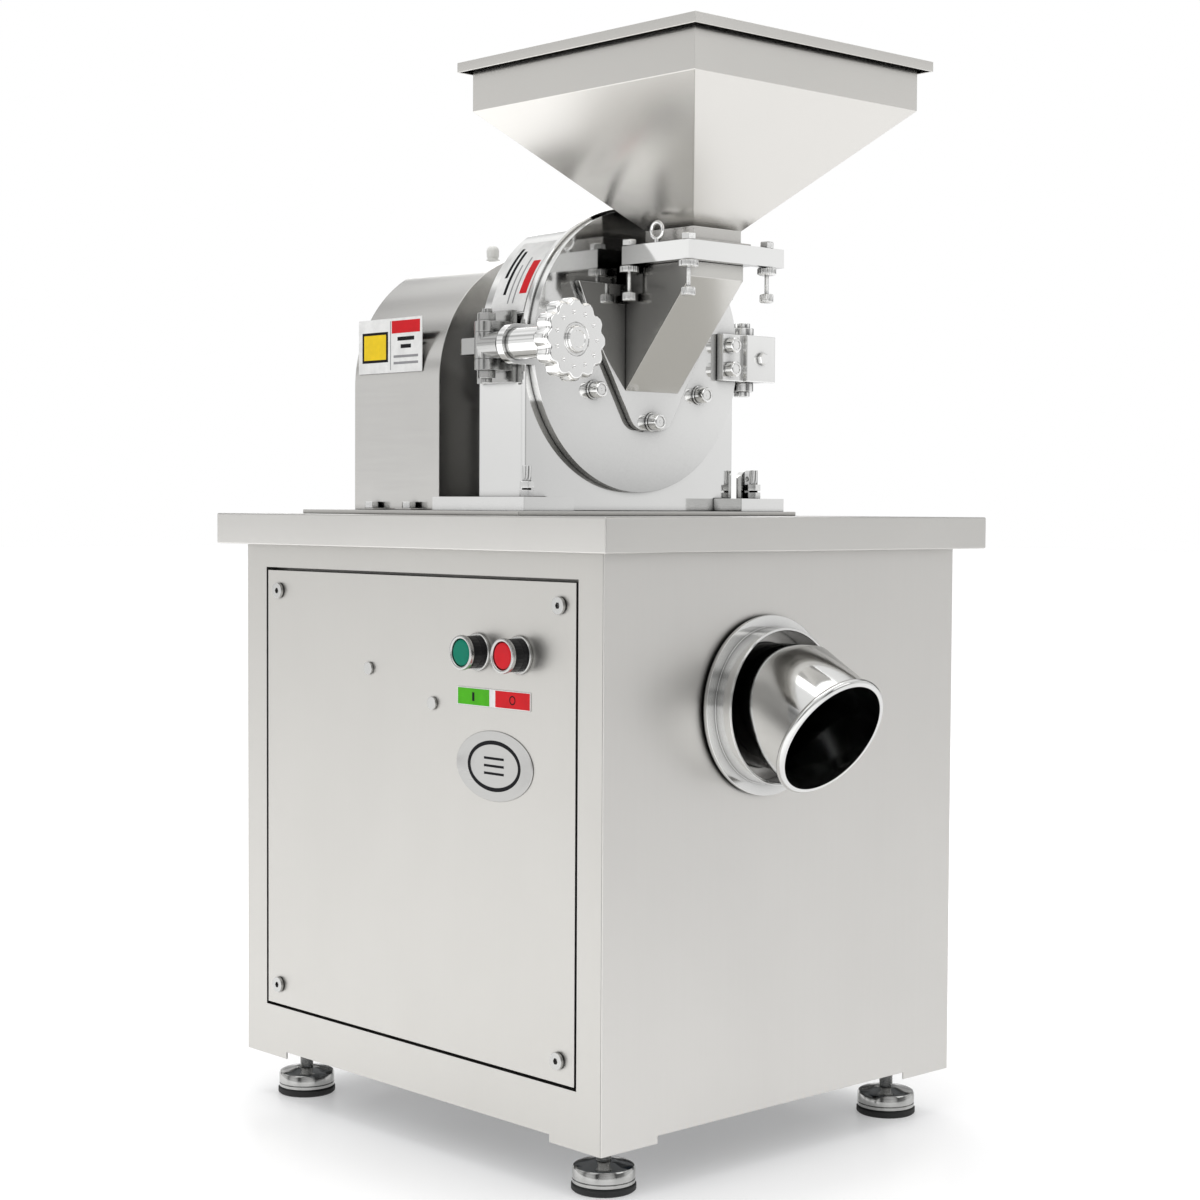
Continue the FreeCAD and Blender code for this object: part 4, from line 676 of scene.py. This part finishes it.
oval(badge, (high.y - low.y) / 2, (high.z - low.z) / 2, high.x, low.x, BARE)
oval(badge, RING_HALF_Y, RING_HALF_Z, low.x, low.x - INK, PRINTED, RING_BAND)
for lift in (BAR_PITCH, 0, -BAR_PITCH):
    bar_z = spot.z + lift
    badge.box((low.x - INK, spot.y - BAR_HALF_Y, bar_z - BAR_HALF_Z),
              (low.x, spot.y + BAR_HALF_Y, bar_z + BAR_HALF_Z), PRINTED)
badge.done("badge_plate", [badge_steel, ink], "frame", "satin_steel", ["badge"])

low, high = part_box("notice_plates")
guard_low, guard_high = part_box("belt_guard")
shell_low, shell_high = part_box("chamber_shell")
sign_x = guard_low.x + SIGN_IN
sign_back = min(high.y + SIGN_BEHIND, guard_high.y - GUARD_MARGIN)
sign_area = (Vector((sign_x - PLATE_T, high.y - SIGN_AHEAD, low.z)),
             Vector((sign_x, sign_back, low.z + SIGN_TALL)))
sign = Mesh()
for mark in ((0, 1, 0, 1, WHITE, 0), (0.53, 0.94, 0.20, 0.76, BLACK, INK),
             (0.56, 0.91, 0.25, 0.71, TINT, INK * 2), (0.03, 0.47, 0.72, 0.95, RED, INK),
             (0.485, 0.495, 0.05, 0.95, GREY, INK), (0.12, 0.38, 0.58, 0.65, BLACK, INK),
             (0.17, 0.33, 0.44, 0.51, BLACK, INK), (0.06, 0.44, 0.27, 0.315, GREY, INK),
             (0.06, 0.44, 0.15, 0.195, GREY, INK)):
    on_side(sign, sign_area, *mark)

# The notice on the chamber's arch: each mark's from and to along Y, in mm, its two angles and its slot.
shell_r = (shell_high.x - shell_low.x) / 2
arch = ((shell_low.x + shell_high.x) / 2, 0, shell_high.z - shell_r)
arch_y = shell_low.y + ARCH_IN
outer_r = shell_r + PLATE_T
sign.arc(arch, arch_y, arch_y + ARCH_LONG, shell_r, outer_r, *ARCH_ANGLES)
for y0, y1, a0, a1, slot in ((3, 15, 22, 38, RED), (21, 23, 18, 40, GREY), (29.5, 31.5, 18, 36, GREY),
                             (38, 42.5, 22, 44, BLACK), (46.5, 51, 30, 46, BLACK)):
    sign.arc(arch, arch_y + y0 * MM, arch_y + y1 * MM, outer_r, outer_r + INK, a0, a1, slot)
sign_inks = [white_film, yellow_film, red_film, ink, grey_ink]
sign.done("notices_printed", sign_inks, "frame", "label_film", ["notice_plates"])


# ---------------------------------------------------------------- camera
CAMERA_PLACE = (-1.801, -1.9017, 0.7057)
CAMERA_TURN = 42.826
CAMERA_DIP = 2.388
CAMERA_ROLL = 0.300
CAMERA_LENS = 67.845
CAMERA_FAR = 100.0
camera = bpy.data.objects.new("camera", bpy.data.cameras.new("camera"))
camera.data.lens = CAMERA_LENS
camera.data.clip_end = CAMERA_FAR
turn = Matrix.Rotation(math.radians(-CAMERA_TURN), 4, "Z")
dip = Matrix.Rotation(math.radians(90 - CAMERA_DIP), 4, "X")
roll = Matrix.Rotation(math.radians(CAMERA_ROLL), 4, "Z")
camera.matrix_world = Matrix.Translation(CAMERA_PLACE) @ (turn @ dip) @ roll
scene.collection.objects.link(camera)
scene.camera = camera

# ---------------------------------------------------------------- floor
FLOOR_HALF = 30.0
# The glow that is seen grows with the distance from the middle; the one that lights the part falls with X.
SEEN_PLACES = (0.35, 1.5)
SEEN_GLOW = (0.30, 0.52)
CAST_PLACES = (-0.5, 0.6)
CAST_GLOW = (0.52, 0.15)
FLOOR_COLOUR = (0.90, 0.90, 0.905, 1)
FLOOR_ROUGH = 0.22
FLOOR_SHINE = 0.3
floor_mesh = bpy.data.meshes.new("floor")
corners = [(x * FLOOR_HALF, y * FLOOR_HALF, 0) for x, y in ((-1, -1), (1, -1), (1, 1), (-1, 1))]
floor_mesh.from_pydata(corners, [], [(0, 1, 2, 3)])
floor = bpy.data.objects.new("floor", floor_mesh)
scene.collection.objects.link(floor)
floor_mat, floor_tree, floor_shader = new_material("floor")
floor_shader.inputs["Base Color"].default_value = FLOOR_COLOUR
floor_shader.inputs["Roughness"].default_value = FLOOR_ROUGH
floor_shader.inputs["Specular IOR Level"].default_value = FLOOR_SHINE
floor_shader.inputs["Emission Color"].default_value = (1, 1, 1, 1)
floor_coord = node(floor_tree, "ShaderNodeTexCoord")
floor_far = node(floor_tree, "ShaderNodeVectorMath", operation="LENGTH")
floor_tree.links.new(floor_coord.outputs["Object"], floor_far.inputs[0])
floor_seen = map_range(floor_tree, floor_far.outputs["Value"], SEEN_PLACES, SEEN_GLOW)
floor_split = node(floor_tree, "ShaderNodeSeparateXYZ")
floor_tree.links.new(floor_coord.outputs["Object"], floor_split.inputs[0])
floor_cast = map_range(floor_tree, floor_split.outputs["X"], CAST_PLACES, CAST_GLOW)
floor_path = node(floor_tree, "ShaderNodeLightPath")
floor_glow = node(floor_tree, "ShaderNodeMix", data_type="FLOAT")
floor_tree.links.new(floor_path.outputs["Is Camera Ray"], floor_glow.inputs["Factor"])
floor_tree.links.new(floor_cast, floor_glow.inputs["A"])
floor_tree.links.new(floor_seen, floor_glow.inputs["B"])
floor_tree.links.new(floor_glow.outputs["Result"], floor_shader.inputs["Emission Strength"])
dress(floor, floor_mat)

# ---------------------------------------------------------------- light
STUDIO_STRENGTH = 0.92
STUDIO_TOP = (0.95, 0.95, 0.95, 1)
AIM = (0, 0, 0.6)
# Each light's place and two sizes, in metres, and its power in watts.
LIGHTS = {
    "key": ((-3.2, -0.6, 2.6), (2.0, 2.0), 7),
    "front": ((1.2, -3.6, 2.2), (2.0, 1.6), 12),
    "top": ((0.0, 0.2, 4.2), (3.0, 3.0), 40),
    "back": ((2.4, 3.0, 2.4), (2.0, 2.0), 20),
}
world = bpy.data.worlds.new("studio")
scene.world = world
world.use_nodes = True
wt = world.node_tree
for old in list(wt.nodes):
    wt.nodes.remove(old)
coord = node(wt, "ShaderNodeTexCoord")
split = node(wt, "ShaderNodeSeparateXYZ")
wt.links.new(coord.outputs["Generated"], split.inputs[0])
angle = node(wt, "ShaderNodeMath", operation="ARCTAN2")
wt.links.new(split.outputs["Y"], angle.inputs[0])
wt.links.new(split.outputs["X"], angle.inputs[1])
turned = node(wt, "ShaderNodeMath", operation="MULTIPLY_ADD")
wt.links.new(angle.outputs[0], turned.inputs[0])
turned.inputs[1].default_value = 1 / (2 * math.pi)
turned.inputs[2].default_value = 0.5
# Bright panels and dark gaps round the studio, and from floor to ceiling; they blend to white overhead.
round_ramp = ramp(wt, turned.outputs[0], [
    (0.00, grey(0.95)), (0.035, grey(0.75)), (0.055, grey(0.08)), (0.075, grey(0.10)), (0.10, grey(0.55)),
    (0.19, grey(0.92)), (0.235, grey(0.55)), (0.25, grey(0.10)), (0.28, grey(0.22)), (0.335, grey(0.30)),
    (0.354, grey(0.66)), (0.378, grey(1.00)), (0.45, grey(1.05)), (0.485, grey(0.75)), (0.50, grey(0.06)),
    (0.52, grey(0.08)), (0.57, grey(0.70)), (0.61, grey(0.40)), (0.63, grey(0.05)), (0.65, grey(0.30)),
    (0.69, grey(1.05)), (0.735, grey(0.60)), (0.75, grey(0.10)), (0.77, grey(0.35)), (0.80, grey(1.05)),
    (0.845, grey(0.90)), (0.875, grey(1.05)), (0.905, grey(0.70)), (0.925, grey(0.25)), (0.96, grey(0.85)),
    (1.00, grey(0.95))])
height_ramp = ramp(wt, split.outputs["Z"], [
    (0.00, grey(0.85)), (0.10, grey(1.0)), (0.17, grey(0.95)), (0.21, grey(0.60)), (0.25, grey(0.62)),
    (0.30, grey(1.05)), (0.44, grey(0.90)), (0.48, grey(0.48)), (0.53, grey(0.58)), (0.60, grey(1.1)),
    (1.0, grey(1.2))], "EASE")
top_mix = node(wt, "ShaderNodeMix", data_type="RGBA")
lift = ramp(wt, split.outputs["Z"], [(0.40, grey(0.0)), (0.80, grey(1.0))], "EASE")
wt.links.new(lift, top_mix.inputs["Factor"])
wt.links.new(round_ramp, top_mix.inputs["A"])
top_mix.inputs["B"].default_value = STUDIO_TOP
both = node(wt, "ShaderNodeMix", data_type="RGBA", blend_type="MULTIPLY")
both.inputs["Factor"].default_value = 1.0
wt.links.new(top_mix.outputs["Result"], both.inputs["A"])
wt.links.new(height_ramp, both.inputs["B"])
studio = node(wt, "ShaderNodeBackground")
wt.links.new(both.outputs["Result"], studio.inputs["Color"])
studio.inputs["Strength"].default_value = STUDIO_STRENGTH
backdrop = node(wt, "ShaderNodeBackground")
backdrop.inputs["Color"].default_value = (1, 1, 1, 1)
backdrop.inputs["Strength"].default_value = 1.0
path = node(wt, "ShaderNodeLightPath")
choose = node(wt, "ShaderNodeMixShader")
wt.links.new(path.outputs["Is Camera Ray"], choose.inputs["Fac"])
wt.links.new(studio.outputs[0], choose.inputs[1])
wt.links.new(backdrop.outputs[0], choose.inputs[2])
wt.links.new(choose.outputs[0], node(wt, "ShaderNodeOutputWorld").inputs["Surface"])

for name, (place, size, power) in LIGHTS.items():
    data = bpy.data.lights.new(name, "AREA")
    data.shape = "RECTANGLE"
    data.size, data.size_y = size
    data.energy = power
    made = bpy.data.objects.new(name, data)
    made.location = place
    made.rotation_euler = (Vector(AIM) - Vector(place)).to_track_quat("-Z", "Y").to_euler()
    scene.collection.objects.link(made)
scene.view_settings.view_transform = "Standard"
scene.view_settings.look = "None"
scene.view_settings.exposure = 0.0
